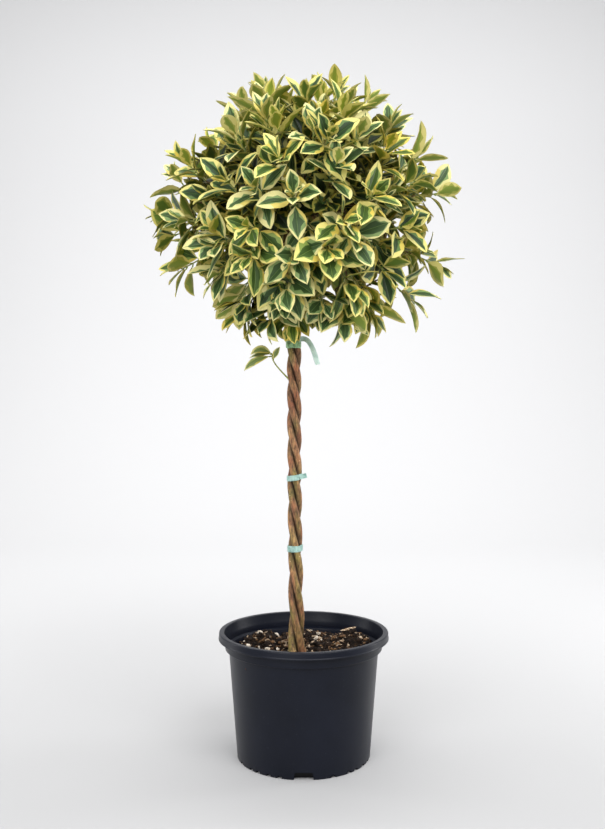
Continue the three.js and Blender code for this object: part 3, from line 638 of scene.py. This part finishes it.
SOIL_LUMPS = [(3.4, 13, 3), (2.4, 5.5, 9), (1.1, 2.4, 0)]  # height, size, place in the noise
SOIL_GAP = 0.3  # between the soil and the pot's inner step and floor
CRUMB_LUMPS = 0.16
CRUMB_SINK = 0.25  # a crumb's middle lies this share of its size above the soil
LONG_CRUMB = 1.5  # from this stretch up a crumb lies level
# Kinds of crumb: name, how many, size range, how much longer than wide, share of the height.
CRUMB_KINDS = [
    ("soil_crumbs", 900, (1, 3.8), (1, 1.7), 0.8),
    ("soil_bark_bits", 560, (0.8, 3.2), (1.2, 2.6), 0.6),
    ("soil_fibres", 420, (0.7, 2.3), (1.3, 3.6), 0.6),
    ("soil_perlite", 70, (1.4, 3.6), (1, 1.6), 0.75),
]


def soil_height(x, y):
    """The soil's height with its mounds, which is level round the stems."""
    mounds = 0
    for mound_x, mound_y, tall, spread in SOIL_MOUNDS:
        away = hypot(x - mound_x, y - mound_y) / spread
        mounds += tall * exp(-away * away)
    return SOIL_LEVEL + mounds * smoothstep(hypot(x - AXIS_FOOT_X, y), 18, 36)


def soil_top(x, y):
    """The height with lumps and hollows too, which are lower along the pot's wall."""
    rough = sum(tall * ripple((x, y, place), size) for tall, size, place in SOIL_LUMPS)
    edge = smoothstep(pot_inside(SOIL_LEVEL) - hypot(x, y), 0, 10)
    return soil_height(x, y) - 0.6 + rough * (0.35 + 0.65 * edge)


def make_soil():
    rings, segments = 64, 200
    radius = pot_inside(SOIL_LEVEL) - 0.2
    reaches = [radius * i / rings for i in range(1, rings + 1)]
    points = [(x, y, soil_top(x, y)) for reach in reaches for x, y in circle(reach, segments)]
    step, inner = BAND_HEIGHT + SOIL_GAP, BAND_INNER_RADIUS - SOIL_GAP
    side = [(pot_inside(BAND_HEIGHT) - SOIL_GAP, step), (inner, step), (inner, POT_FLOOR + SOIL_GAP)]
    points += [(x, y, height) for reach, height in side for x, y in circle(reach, segments)]
    faces = tube_faces(rings + len(side), segments, inward=True)
    settle_in(mesh_piece("soil_bed", points, faces, [SOIL]), "soil", "soil")


def ball_shape():
    ball = bmesh.new()
    bmesh.ops.create_icosphere(ball, subdivisions=2, radius=1)
    corners = np.array([tuple(v.co) for v in ball.verts])
    triangles = np.array([[v.index for v in f.verts] for f in ball.faces])
    ball.free()
    return corners, triangles


def level_turn(draw):
    """A random heading with a small tilt, for long bits that lie on the soil."""
    turn, tilt = draw.uniform(0, tau), draw.normal() * 0.3
    along = direction(degrees(turn), degrees(tilt))
    side = unit(np.cross(UP, along))
    return np.array([along, side, np.cross(along, side)]).T


def make_crumbs():
    corners, triangles = ball_shape()
    draw = np.random.default_rng(21)
    reach = pot_inside(SOIL_LEVEL) - 3
    for (name, count, sizes, stretch, flat), material in zip(CRUMB_KINDS, CRUMBS):
        points, faces = [], []
        while len(points) < count:
            turn, away = draw.uniform(0, tau), reach * sqrt(draw.uniform())
            x, y = away * cos(turn), away * sin(turn)
            size = lerp(*sizes, draw.uniform() ** 2)
            if hypot(x - AXIS_FOOT_X, y) < 12 + size:
                continue
            longer = draw.uniform(*stretch)
            lumps = 1 + draw.normal(size=len(corners))[:, None] * CRUMB_LUMPS
            shape = corners * lumps * size * vector(longer, 1, flat)
            turned = Quaternion(unit(draw.normal(size=4))).to_matrix()
            spin = np.array(turned) if longer < LONG_CRUMB else level_turn(draw)
            faces.append(triangles + len(points) * len(corners))
            points.append(shape @ spin.T + vector(x, y, soil_top(x, y) + size * CRUMB_SINK))
        settle_in(mesh_piece(name, np.concatenate(points), np.concatenate(faces), [material]), "soil")


make_soil()
make_crumbs()

# ---- Twisted stems ----

STEM_FOOT = SOIL_LEVEL + 0.3
STRAND_GAP = 0.3
STRAND_ROOM = 1.05
FOLD_WIDTH = 7.5  # painted shade darkens the folds between the strands this far out
FOLD_FADE = 1.25


def stem_axis(height):
    share = clamp((height - SOIL_LEVEL) / (STEM_TOP - SOIL_LEVEL))
    return vector(AXIS_FOOT_X + AXIS_LEAN * (1 - (1 - share) ** 3), 0, height)


def stem_radius(height):
    if height > FORK_HEIGHT:
        share = (height - FORK_HEIGHT) / (STEM_TOP - FORK_HEIGHT)
        return lerp(STEM_RADIUS, STEM_TIP_RADIUS, share)
    slim = clamp((height - SOIL_LEVEL) / (LOW_TIE - SOIL_LEVEL))
    flare = STEM_FLARE * exp((STEM_FOOT - height) / STEM_FLARE_HEIGHT)
    return lerp(STEM_FOOT_RADIUS, STEM_RADIUS, slim) + flare


def twist_turns(height):
    drop = TWIST_TOP - min(height, FORK_HEIGHT)
    change = (1 / TWIST_TOP_PITCH - 1 / TWIST_FOOT_PITCH) / (TWIST_TOP - SOIL_LEVEL)
    return drop / TWIST_TOP_PITCH - change * drop * drop / 2


def strand_offset(height):
    """How far a strand lies from the axis: the three touch, then part above the fork."""
    radius = stem_radius(min(height, FORK_HEIGHT))
    touching = (radius * 2 + STRAND_GAP) * STRAND_ROOM / sqrt(3)
    share = clamp((height - FORK_HEIGHT) / (STEM_TOP - FORK_HEIGHT))
    return lerp(touching, STEM_SPREAD, share**1.4)


def strand_point(strand, height):
    bearing = TWIST_PHASE + strand * 360 / STEM_COUNT + twist_turns(height) * 360
    return stem_axis(height) + direction(bearing, 0) * strand_offset(height)


def strand_points(height):
    return [strand_point(strand, height) for strand in range(STEM_COUNT)]


def bark_relief(deep, seed):
    """How far the bark stands out: long furrows, low swellings and small warts."""

    def relief(point):
        x, y, z = point
        furrow = ripple((x, y, z * 0.16), 1.7, seed)
        swell = ripple((x, y, z * 0.8), 9, seed + 5)
        wart = max(0, ripple(point, 3, seed + 11) - 0.35)
        return deep * (0.45 * furrow + 0.55 * swell + 0.9 * wart)

    return relief


def fold_shade(grid, paths, radii, sides):
    """How deep each corner lies in the fold beside another strand, from 0 to 1, which sets its painted
    shade.
    """
    shade = np.zeros(len(grid))
    rows = np.repeat(np.arange(len(radii)), sides)
    for path in paths:
        gap = norm(grid - path[rows], axis=1) - np.array(radii)[rows]
        shade = np.maximum(shade, np.clip(1 - gap / FOLD_WIDTH, 0, 1) ** FOLD_FADE)
    return shade


def make_stems():
    sides, steps = 28, 380
    heights = np.linspace(STEM_FOOT - 2, STEM_TOP, steps + 1)
    radii = [stem_radius(max(height, STEM_FOOT)) + 0.1 for height in heights]
    paths = list(np.array([strand_points(height) for height in heights]).swapaxes(0, 1))
    for strand, path in enumerate(paths):
        grid = tube_grid(path, radii, sides, bark_relief(0.42, strand * 17))
        faces = tube_faces(steps + 1, sides)
        piece = mesh_piece(f"stem_bark_{strand + 1}", grid, faces, [BARKS[strand]])
        others = paths[:strand] + paths[strand + 1 :]
        # The fold attribute carries the painted shade of the folds between the strands.
        fold = piece.data.attributes.new("fold", "FLOAT", "POINT")
        fold.data.foreach_set("value", fold_shade(grid, others, radii, sides))
        settle_in(piece, "bark", f"stem_{strand + 1}")


make_stems()

# ---- Crown: spaces, boughs and shoots, by the source's rule ----


# A foliage mass of the source. Its shoots' twigs start at its seat and its springs.
Mass = namedtuple("Mass", "name middle bough_tip seat shoots springs")


def make_masses():
    for ring, elevation, turn, count in MASS_RINGS:
        for i in range(count):
            name = f"{ring}_{i + 1}" if count > 1 else ring
            middle = direction(turn + i * 360 / count, elevation)
            bough_tip = CROWN + middle * (CORE_INNER - 6)
            yield Mass(name, middle, bough_tip, CROWN + middle * (CORE_INNER + CORE_OUTER) / 2, [], [])


MASSES = list(make_masses())


def mass_at(point):
    way = unit(point - CROWN)
    return max(MASSES, key=lambda mass: mass.middle @ way)


def reach_of(way):
    """How far leaf tips reach from the crown's centre in a direction."""
    tall = CROWN_UP if way[2] > 0 else CROWN_DOWN
    return 1 / hypot(hypot(way[0], way[1]) / CROWN_RADIUS, way[2] / tall)


def stem_distance(point):
    if point[2] > STEM_TOP + 6:
        return inf
    return hypot(*(point - stem_axis(point[2]))[:2])


def make_boughs():
    steps, sides = 26, 14
    radii = np.linspace(BOUGH_RADIUS, BOUGH_TIP_RADIUS, steps + 1)
    for index, mass in enumerate(MASSES):
        # Low boughs spring from just above the fork, and the top one from the stems' tips.
        rise = lerp(0.3, 0.98, (mass.middle[2] + 0.5) / 1.5)
        springs = strand_points(lerp(FORK_HEIGHT, STEM_TOP, rise))
        start = min(springs, key=lambda spring: norm(spring - mass.bough_tip))
        leave = unit(unit(mass.bough_tip - start) + UP * 0.5)
        path = sweep(start, leave, mass.bough_tip, mass.middle, steps)
        grid = tube_grid(path, radii, sides, bark_relief(0.3, 40 + index * 3))
        faces = tube_faces(steps + 1, sides)
        piece = mesh_piece(f"bough_bark_{mass.name}", grid, faces, [BARKS[index % len(BARKS)]])
        settle_in(piece, "bark", f"bough_{mass.name}")


make_boughs()

# A leafy shoot. The turn is that of its first leaf pair.
Shoot = namedtuple("Shoot", "bud pointing turn size pairs tone")

OUTER_LEAF = 30  # from a bud out to its leaves' tips
LONG_LEAF = 33  # the same on a long shoot
LONG_PAIRS = 5
FRONT_PAIRS = 4
# Layers of shoots: how many directions, least angle between shoots, depth and leaf pairs.
LAYERS = [(130, 18.5, (0.96, 1.05), 4), (130, 15, (0.80, 0.92), 4), (90, 17, (0.60, 0.72), 3)]


def even_directions(count, draw):
    """Directions spread evenly over the globe, then shaken a little."""
    golden = 180 * (3 - sqrt(5))
    for i in range(count):
        height = 1 - (i + 0.5) * 2 / count
        elevation = degrees(asin(height)) + (draw() - 0.5) * 6
        bearing = i * golden + (draw() - 0.5) * 8
        yield direction(bearing, clamp(elevation, -90, 90))


def tone_for(way, depth, draw):
    """Lighter tones above as painted light, golden ones below, and dark ones inside as painted shade."""
    high = smoothstep(way[2], 0.1, 0.8)
    inside = smoothstep(depth, 0.98, 0.7)
    weights = {
        "cream": 0.46,
        "lemon": 0.3,
        # Deeper inside, the dark tones take over, as painted shade.
        "deep": 0.16 + 0.3 * inside,
        "gold": 0.09 * (1 - high),
        # More of the paler tone on top, as painted light.
        "lit_top": 0.7 * high * (1 - inside),
        "shade": 1.6 * inside,
    }
    shares = np.array([weights.get(tone, 0) for tone in TONES])
    return int(draw.choice(len(TONES), p=shares / shares.sum()))


def plan_shoots():
    """The shoots of both tables, then the rest between them."""
    draw = np.random.default_rng(5)
    shoots, taken = [], []
    for bearing, elevation, reach, turn, size in LONG_SHOOTS:
        way = direction(bearing, elevation)
        bud = CROWN + way * (reach - LONG_LEAF * size)
        shoots.append(Shoot(bud, way, turn, size, LONG_PAIRS, tone_for(way, 1, draw)))
    for bearing, elevation, lift, turn, size in FRONT_SHOOTS:
        way = direction(bearing, elevation)
        bud = CROWN + way * (reach_of(way) - OUTER_LEAF)
        tone = tone_for(way, 1, draw)
        shoots.append(Shoot(bud, unit(way + UP * lift), turn, size, FRONT_PAIRS, tone))
        taken.append(way)
    for layer, (count, least, depths, pairs) in enumerate(LAYERS):
        own = list(taken) if layer == 0 else []
        for way in even_directions(count, drawn_from(7 + layer)):
            nearest = cos(radians(least * (1 + 0.3 * smoothstep(-way[2], 0.2, 0.8))))
            if any(way @ other >= nearest for other in own):
                continue
            depth = draw.uniform(*depths)
            lift = 0.65 * smoothstep(way[2], -0.4, 0.3)
            wobble = draw.normal(size=3) * 0.16
            bud = CROWN + way * (reach_of(way) * depth - OUTER_LEAF)
            if stem_distance(bud) < TRUNK_CLEARANCE + 6:
                continue
            tone = tone_for(way, depth, draw)
            size, turn = draw.uniform(0.86, 1.1), draw.uniform(0, 180)
            shoots.append(Shoot(bud, unit(way + UP * lift + wobble), turn, size, pairs, tone))
            own.append(way)
    return shoots


# ---- Leaves ----

# A leaf. Its width is a share of its length, and its arch is in radians.
Leaf = namedtuple("Leaf", "root along above length width arch tone")

STALK = 0.09  # share of a leaf's length that is its stalk
STALK_HALF = 0.8  # half the stalk's width
TIP_HALF = 0.12  # half the least width near the tip
STALK_THICK = 1.1
LEAF_THICK = 0.34
RIB_HALF = 0.3
RIB_SINK = 0.25  # the midrib lies this deep in the face
RIB_PROUD = 0.35  # and stands out this far underneath
QUILT = 0.16  # the face rises and falls this much from vein to vein
FULL_HALF = 8  # leaves of this half width have the full quilting and waves
SLANT = 0.42  # the rows run slanted towards the tip, as the veins do
BLADE_ROWS = 12
STALK_ROWS = 2
ROWS = STALK_ROWS + BLADE_ROWS
TOP_PLACES = 9  # places across a row on the upper face
ROW_PLACES = TOP_PLACES + 5  # and five more underneath
MIDRIB_PLACE = 4
UNDER_RIB_PLACE = TOP_PLACES + 2
WARM_ROWS = 8  # one side of the margin is warmer over this many rows


def leaf_faces():
    """Quads of one leaf, and the part that each belongs to."""
    faces, parts = [], []
    inner = [PATCH, HEART, MIDRIB, MIDRIB, HEART, PATCH]
    under_line = [0, *range(TOP_PLACES, ROW_PLACES), TOP_PLACES - 1]
    under = [UNDER_MARGIN, UNDER_PATCH, UNDER, UNDER, UNDER_PATCH, UNDER_MARGIN]
    for row in range(ROWS - 1):
        a, b = row * ROW_PLACES, (row + 1) * ROW_PLACES
        stalk = row < STALK_ROWS
        edge = WARM_MARGIN if row < WARM_ROWS else MARGIN
        for place, part in enumerate([edge, *inner, MARGIN]):
            faces.append((a + place, a + place + 1, b + place + 1, b + place))
            parts.append(MIDRIB if stalk else part)
        for left, right, part in zip(under_line, under_line[1:], under):
            faces.append((a + left, b + left, b + right, a + right))
            parts.append(UNDER if stalk else part)
    outline = [*range(TOP_PLACES), *reversed(range(TOP_PLACES, ROW_PLACES))]
    caps = np.array(outline)[cap_faces(len(outline))]
    faces = np.concatenate([faces, caps[:, ::-1], caps + (ROWS - 1) * ROW_PLACES])
    return faces, np.array(parts + [MIDRIB] * len(caps) + [MARGIN] * len(caps))


def leaf_rows():
    """Where the rows lie along the leaf and along its blade, closer at both ends."""
    eased = 0.5 - 0.5 * np.cos(np.linspace(0, pi, BLADE_ROWS))
    rows = np.concatenate([[0, STALK * 0.6], STALK + (1 - STALK) * eased])[None, :]
    return rows, np.clip((rows - STALK) / (1 - STALK), 0, 1)


LEAF_FACES, LEAF_FACE_PARTS = leaf_faces()
ALONG_LEAF, ALONG_BLADE = leaf_rows()
FLIPS = np.where(np.arange(ROWS) % 2 == 0, 1, -1)[None, :]  # 1 and -1 in turn, row by row


def half_widths(width, each):
    """Half the width of each leaf at each row, widest near the middle of its blade."""
    base, tip = each(0.82, 1.1), each(0.84, 1.1)
    widest = base / (base + tip)
    full = widest**base * (1 - widest) ** tip
    half = 0.5 * width * ALONG_BLADE**base * (1 - ALONG_BLADE) ** tip / full
    return np.maximum(half, np.where(ALONG_BLADE > 0.5, TIP_HALF, STALK_HALF))


def arched(length, arch):
    """Each leaf rises from its stalk, then arches over: its slope, its run and its rise."""
    slope = arch * (0.35 - 1.25 * ALONG_LEAF**1.3)
    steps = np.diff(ALONG_LEAF) * length
    middle = (slope[:, 1:] + slope[:, :-1]) / 2
    start = np.zeros((len(length), 1))
    runs = np.concatenate([start, np.cumsum(steps * np.cos(middle), axis=1)], axis=1)
    rises = np.concatenate([start, np.cumsum(steps * np.sin(middle), axis=1)], axis=1)
    return slope, runs, rises


def places_across(half, high, each, draw):
    """Where each row's places lie, from -1 to 1. The heart is ragged, and its halves differ."""
    count = len(half)
    heart_end = each(0.8, 0.98)
    opening = np.sin(np.clip(ALONG_BLADE / heart_end, 0, 1) * pi) ** 0.45
    mean_heart = np.clip(draw.normal(0.7, 0.12, (count, 1)) - 0.11 * high, 0.36, 0.9)
    halves = []
    for _ in range(2):
        own = mean_heart + each(-0.14, 0.14)
        ragged = FLIPS * each(0.02, 0.22, ROWS) + draw.normal(0, 0.06, (count, ROWS))
        heart = np.clip(own * (0.4 + 0.6 * opening) + ragged, 0.08, 0.93) * opening**0.6
        heart = np.maximum(heart, 0.06)
        patch = heart * np.clip(0.64 - FLIPS * each(0, 0.3, ROWS), 0.25, 0.97)
        halves.append((patch, heart))
    (patch, heart), (far_patch, far_heart) = halves
    rib = np.minimum(np.clip(RIB_HALF / half, 0.02, 0.5), patch * 0.5)
    edge, middle = np.ones((count, ROWS)), np.zeros((count, ROWS))
    top = [-edge, -heart, -patch, -rib, middle, rib, far_patch, far_heart, edge]
    return np.stack([*top, -heart, -patch, middle, far_patch, far_heart], axis=2)


def leaf_points(leaves, draw):
    """Corners by leaf, row and place."""
    root, along, above, length, width, arch, _ = (np.array(column) for column in zip(*leaves))
    length, width, arch = length[:, None], width[:, None], arch[:, None]
    side = np.cross(along, above)
    side /= norm(side, axis=1)[:, None]
    above = np.cross(side, along)

    def each(low, high, places=1):
        """One value for each leaf, or one for each of its rows."""
        return draw.uniform(low, high, (len(leaves), places))

    half = half_widths(length * width, each)
    slope, runs, rises = (values[:, :, None] for values in arched(length, arch))
    high = np.clip((root - CROWN)[:, 2:] / CROWN_UP, -1, 1)
    places = places_across(half, high, each, draw)
    out = np.abs(places)
    wide = half[:, :, None]
    fullness = np.clip(wide / FULL_HALF, 0, 1)

    # The halves fold up along the midrib, and the edge runs in waves.
    fold = each(0.05, 0.34)[:, :, None]
    twist = (each(-0.2, 0.2) * ALONG_LEAF)[:, :, None]
    tall, often = each(0.25, 1.1)[:, :, None], each(7, 12)[:, :, None]
    phase = np.sign(places) * 1.3 + each(0, 6.3)[:, :, None]
    wave = tall * np.sin(ALONG_LEAF[:, :, None] * often + phase)
    across = places * wide * np.cos(fold)
    lift = out * wide * np.sin(fold) + wave * out**2 * fullness
    lift += FLIPS[:, :, None] * QUILT * np.sin(out * pi) * fullness
    lift[:, :, MIDRIB_PLACE] -= RIB_SINK * fullness[:, :, 0]
    shear = SLANT * out * (1 - out**4) * wide * np.clip((1 - ALONG_BLADE) * 3, 0, 1)[:, :, None]
    thick = np.where(ALONG_BLADE > 0, LEAF_THICK, STALK_THICK)[:, :, None]
    lift[:, :, TOP_PLACES:] -= thick
    lift[:, :, UNDER_RIB_PLACE] -= RIB_PROUD

    turned_across = across * np.cos(twist) - lift * np.sin(twist)
    turned_lift = across * np.sin(twist) + lift * np.cos(twist)
    forward = runs + shear * np.cos(slope) - turned_lift * np.sin(slope)
    upward = rises + shear * np.sin(slope) + turned_lift * np.cos(slope)
    points = root[:, None, None, :]
    for part, axis in ((turned_across, side), (forward, along), (upward, above)):
        points = points + part[..., None] * axis[:, None, None, :]
    return points


def make_leaves(name, leaves, draw):
    points = leaf_points(leaves, draw).reshape(-1, 3)
    starts = np.arange(len(leaves))[:, None, None] * ROWS * ROW_PLACES
    tones = np.array([leaf.tone for leaf in leaves])
    kinds = (LEAF_FACE_PARTS + tones[:, None] * len(PARTS)).ravel()
    return mesh_piece(name, points, (LEAF_FACES + starts).reshape(-1, 4), LEAVES, kinds, sharp=65)


# Leaf pairs from the bud down: distance back, splay in degrees, length range, bend under weight.
LEAF_PAIRS = [
    (1, 22, (24, 33), 0.02),
    (6, 42, (35, 44), 0.05),
    (14, 60, (42, 52), 0.1),
    (25, 78, (42, 52), 0.17),
    (38, 86, (38, 48), 0.2),
]
LEAF_LIMIT = 226  # no leaf tip lies further from the crown's centre
STEM_ROOM = 6  # leaves keep this far from the stems' axis


def shoot_leaves(shoot, draw):
    """A shoot's opposite pairs of leaves, each pair square to the one before it.

    High shoots close up like a vase. Low ones have longer leaves, which hang like shingles.
    """
    leaves = []
    across = square_to(shoot.pointing)
    third = np.cross(shoot.pointing, across)
    outward = shoot.bud - CROWN
    rise = unit(outward)[2]
    hang = 1 + 1.6 * max(0, -rise)
    low = smoothstep(-rise, 0.15, 0.8)
    upper, top = smoothstep(rise, -0.2, 0.3), smoothstep(rise, 0.3, 0.8)
    vase = 1 - 0.2 * upper - 0.08 * top
    slim = 1 - 0.1 * upper - 0.08 * top
    shingle = unit(unit(outward * (1, 1, 0)) + UP * 0.5)
    pairs = LEAF_PAIRS[: shoot.pairs - round(low)]
    for index, (back, splay, lengths, weight) in enumerate(pairs):
        node = shoot.bud - shoot.pointing * back * shoot.size
        for half in (0, 180):
            turn = radians(shoot.turn + half + index * 90 + draw.normal() * 9)
            opening = radians(splay * vase + draw.normal() * 8)
            out = across * cos(turn) + third * sin(turn)
            way = shoot.pointing * cos(opening) + out * sin(opening)
            way = unit(way - UP * weight * hang)
            length = draw.uniform(*lengths) * shoot.size * (1 + (0.24 - 0.1 * index) * low)
            length *= min(1, LEAF_LIMIT / norm(node + way * length - CROWN))
            if min(stem_distance(node + way * length * share) for share in (0.5, 1)) < STEM_ROOM:
                continue
            above = lerp(unit(shoot.pointing + UP * 0.35), shingle, low)
            if norm(np.cross(above, way)) < 0.2:
                above = -out
            above = unit(above) + draw.normal(size=3) * (0.16 + 0.2 * low)
            width, arch = draw.uniform(0.44, 0.57) * slim, draw.uniform(0.1, 0.6)
            leaves.append(Leaf(node + way * 0.8, way, above, length, width, arch, shoot.tone))
    return leaves


# ---- Twigs, and the crown made of both ----

TWIG_SIDES = 6
TWIG_STEPS = 7  # along the part of a twig that curves
TWIG_GREEN_RINGS = 3  # the last part, which carries the leaves, is green
TWIG_THICK = 1.5
LEADER_THICK = 1.9
TWIG_TIP = 0.85


def twig_path(shoot, mass):
    """The route of a shoot's twig to its bud, from the nearest twig of its mass further in."""
    knee = shoot.bud - shoot.pointing * 30 * shoot.size
    depth = norm(knee - CROWN)
    inner = [point for point in mass.springs if norm(point - CROWN) < depth - 6]
    near = [point for point in inner if norm(knee - point) > 16]
    start = min([mass.seat, *near], key=lambda point: norm(knee - point))
    leave = unit(unit(knee - start) + mass.middle * 0.4)
    path = sweep(start, leave, knee, shoot.pointing, TWIG_STEPS)
    return [*path, *(lerp(knee, shoot.bud, share) for share in (0.35, 0.7, 1))]


def make_twigs(name, twigs):
    """One mesh of twigs, each given by its path and its thickness."""
    points, faces, kinds = [], [], []
    for path, thick in twigs:
        steps = len(path)
        radii = [lerp(thick, TWIG_TIP, (i / (steps - 1)) ** 0.8) for i in range(steps)]
        own = tube_faces(steps, TWIG_SIDES)
        faces.append(own + sum(map(len, points)))
        points.append(tube_grid(path, radii, TWIG_SIDES))
        kinds.append(np.arange(len(own)) >= (steps - 1 - TWIG_GREEN_RINGS) * TWIG_SIDES)
    materials = [TWIG_BARK, TWIG_GREEN]
    return mesh_piece(name, *map(np.concatenate, (points, faces)), materials, np.concatenate(kinds))


def make_crown():
    for shoot in sorted(plan_shoots(), key=lambda shoot: norm(shoot.bud - CROWN)):
        mass_at(shoot.bud).shoots.append(shoot)
    for index, mass in enumerate(MASSES):
        draw = np.random.default_rng(100 + index)
        leaves = []
        leader = [mass.bough_tip - mass.middle * 2, mass.bough_tip, mass.seat]
        twigs = [(leader, LEADER_THICK)]
        for shoot in mass.shoots:
            path = twig_path(shoot, mass)
            mass.springs.extend(path[1 : TWIG_STEPS + 1])
            twigs.append((path, TWIG_THICK))
            leaves += shoot_leaves(shoot, draw)
        foliage = make_leaves(f"foliage_{mass.name}", leaves, draw)
        settle_in(foliage, "foliage", f"leaves_{mass.name}")
        settle_in(make_twigs(f"twigs_{mass.name}", twigs), "bark")


make_crown()

# ---- Ties ----

BAND_STEPS = 96
BAND_ROWS = 7
BAND_CLEAR = 0.35
STRIP_PLACES = 5  # across each face of a free end


def make_band(name, height, tall, lean, material, ragged=0):
    """A crumpled, leaning band of tape, drawn tight round the strands."""
    axis, radius = stem_axis(height), stem_radius(height) + BAND_CLEAR
    points = []
    for k, turn in enumerate(circle(1, BAND_STEPS)):
        out = vector(*turn, 0)
        # The furthest of the strands holds the band, so that it spans the grooves.
        inner = axis + out * (max((strand - axis) @ out for strand in strand_points(height)) + radius)
        middle = height + lean * out[0] * 6
        for share in np.linspace(-1, 1, BAND_ROWS):
            fray = ragged * ripple((k * 0.9, share * 3, height), 4)
            crumple = 0.28 * ripple(inner + UP * share * tall, 2.6)
            bulge = 0.75 + 0.25 * (1 - share**2) + crumple
            z = middle + share * tall / 2 * (1 + 0.06 * ripple((k, 0, height), 6)) + fray
            points.append((*(inner + out * bulge)[:2], z))
        for share in np.linspace(1, -1, BAND_ROWS):
            points.append((*(inner - out * 0.15)[:2], middle + share * tall / 2 * 0.96))
    faces = ring_faces(BAND_STEPS, 2 * BAND_ROWS, inward=True, closed=True)
    settle_in(mesh_piece(f"tape_{name}", points, faces, [material], sharp=50), "tie", f"tie_{name}")


def make_strip(name, route, facing, width, thick, material, curl):
    """A free end of tape along a route, its flat face turned by `facing`."""
    points = []
    for i, point in enumerate(route):
        along = heading(route, i)
        flat = unit(np.cross(along, facing))
        normal = np.cross(flat, along)
        for sign in (1, -1):
            for share in np.linspace(-sign, sign, STRIP_PLACES):
                bend = curl * (share * share - 0.4)
                crumple = 0.22 * ripple(point + flat * share * 3, 3)
                edge = 1 + 0.08 * ripple((i * 2, share * 2, 5), 3)
                offset = normal * (sign * thick / 2 + bend + crumple)
                points.append(point + flat * share * width / 2 * edge + offset)
    faces = tube_faces(len(route), 2 * STRIP_PLACES)
    settle_in(mesh_piece(name, points, faces, [material], sharp=50), "tie")


def make_ties():
    make_band("low", LOW_TIE, 8, 0.1, TIE_MINT)
    make_band("middle", MIDDLE_TIE, 7, 0.25, TIE_MINT)
    make_band("top", TOP_TIE, 12, -0.1, TIE_GREEN, 2.4)
    # The short end of the middle tie points to the right.
    start = stem_axis(MIDDLE_TIE) + vector(6.5, -6.5, 0.8)
    end = start + vector(9, 1, 2.4)
    route = [lerp(start, end, share) for share in np.linspace(0, 1, 8)]
    make_strip("tape_middle_end", route, vector(0.1, -1, 0), 6, 1.1, TIE_MINT, 0.3)
    # The long end of the top tie springs out to the right and hangs. Its tape is a lighter copy of the
    # mint, as painted light where the crown's shade falls on it.
    start = stem_axis(TOP_TIE) + direction(-50, 0) * 9.6 + vector(0, 0, 4.5)
    bends = [start + vector(*bend) for bend in ((11, -2, 5), (17, -4, -6), (24, -5, -32))]
    route = bezier(start, *bends, 26)
    make_strip("tape_top_end", route, vector(0.45, -1, 0.1), 6.6, 1, TIE_MINT_LIT, 0.7)


make_ties()

# ---- Sprig ----

SPRIG_STEM = vector(-21.5, -4, 33)  # from its foot to its tip
SPRIG_FACE = vector(0, -0.62, 0.78)  # the way its leaves look
# Leaves of the sprig: where on its stem each starts, its tip from the foot, width and arch.
SPRIG_LEAVES = [
    (1, (-51, -8, 38), 0.56, 1.3),
    (0.97, (-52, 6, 31), 0.34, 0.5),
    (0.92, (-60, -6, 16), 0.34, 0.8),
    (0.75, (-13, -6, 42), 0.46, 0.4),
]


def make_sprig():
    """It grows out of the leftmost strand."""
    foot = min(strand_points(SPRIG_HEIGHT), key=lambda strand: strand[0]) - vector(3, 0, 0)
    tip = foot + SPRIG_STEM
    path = bezier(foot, foot + SPRIG_STEM * (0.34, 0.3, 0.26), tip - vector(4, 1, 9), tip, 12)
    leaves = []
    for share, reach, width, arch in SPRIG_LEAVES:
        root = path[round(share * (len(path) - 1))]
        way = foot + vector(*reach) - root
        length = norm(way) * 1.05
        leaves.append(Leaf(root, unit(way), SPRIG_FACE, length, width, arch, TONES.index("pale")))
    foliage = make_leaves("sprig_leaves", leaves, np.random.default_rng(61))
    settle_in(foliage, "foliage", "sprig")
    radii = [1.1 - 0.03 * i for i in range(len(path))]
    stem = mesh_piece("sprig_stem", tube_grid(path, radii, 8), tube_faces(len(path), 8), [SPRIG_GREEN])
    settle_in(stem, "bark")


make_sprig()
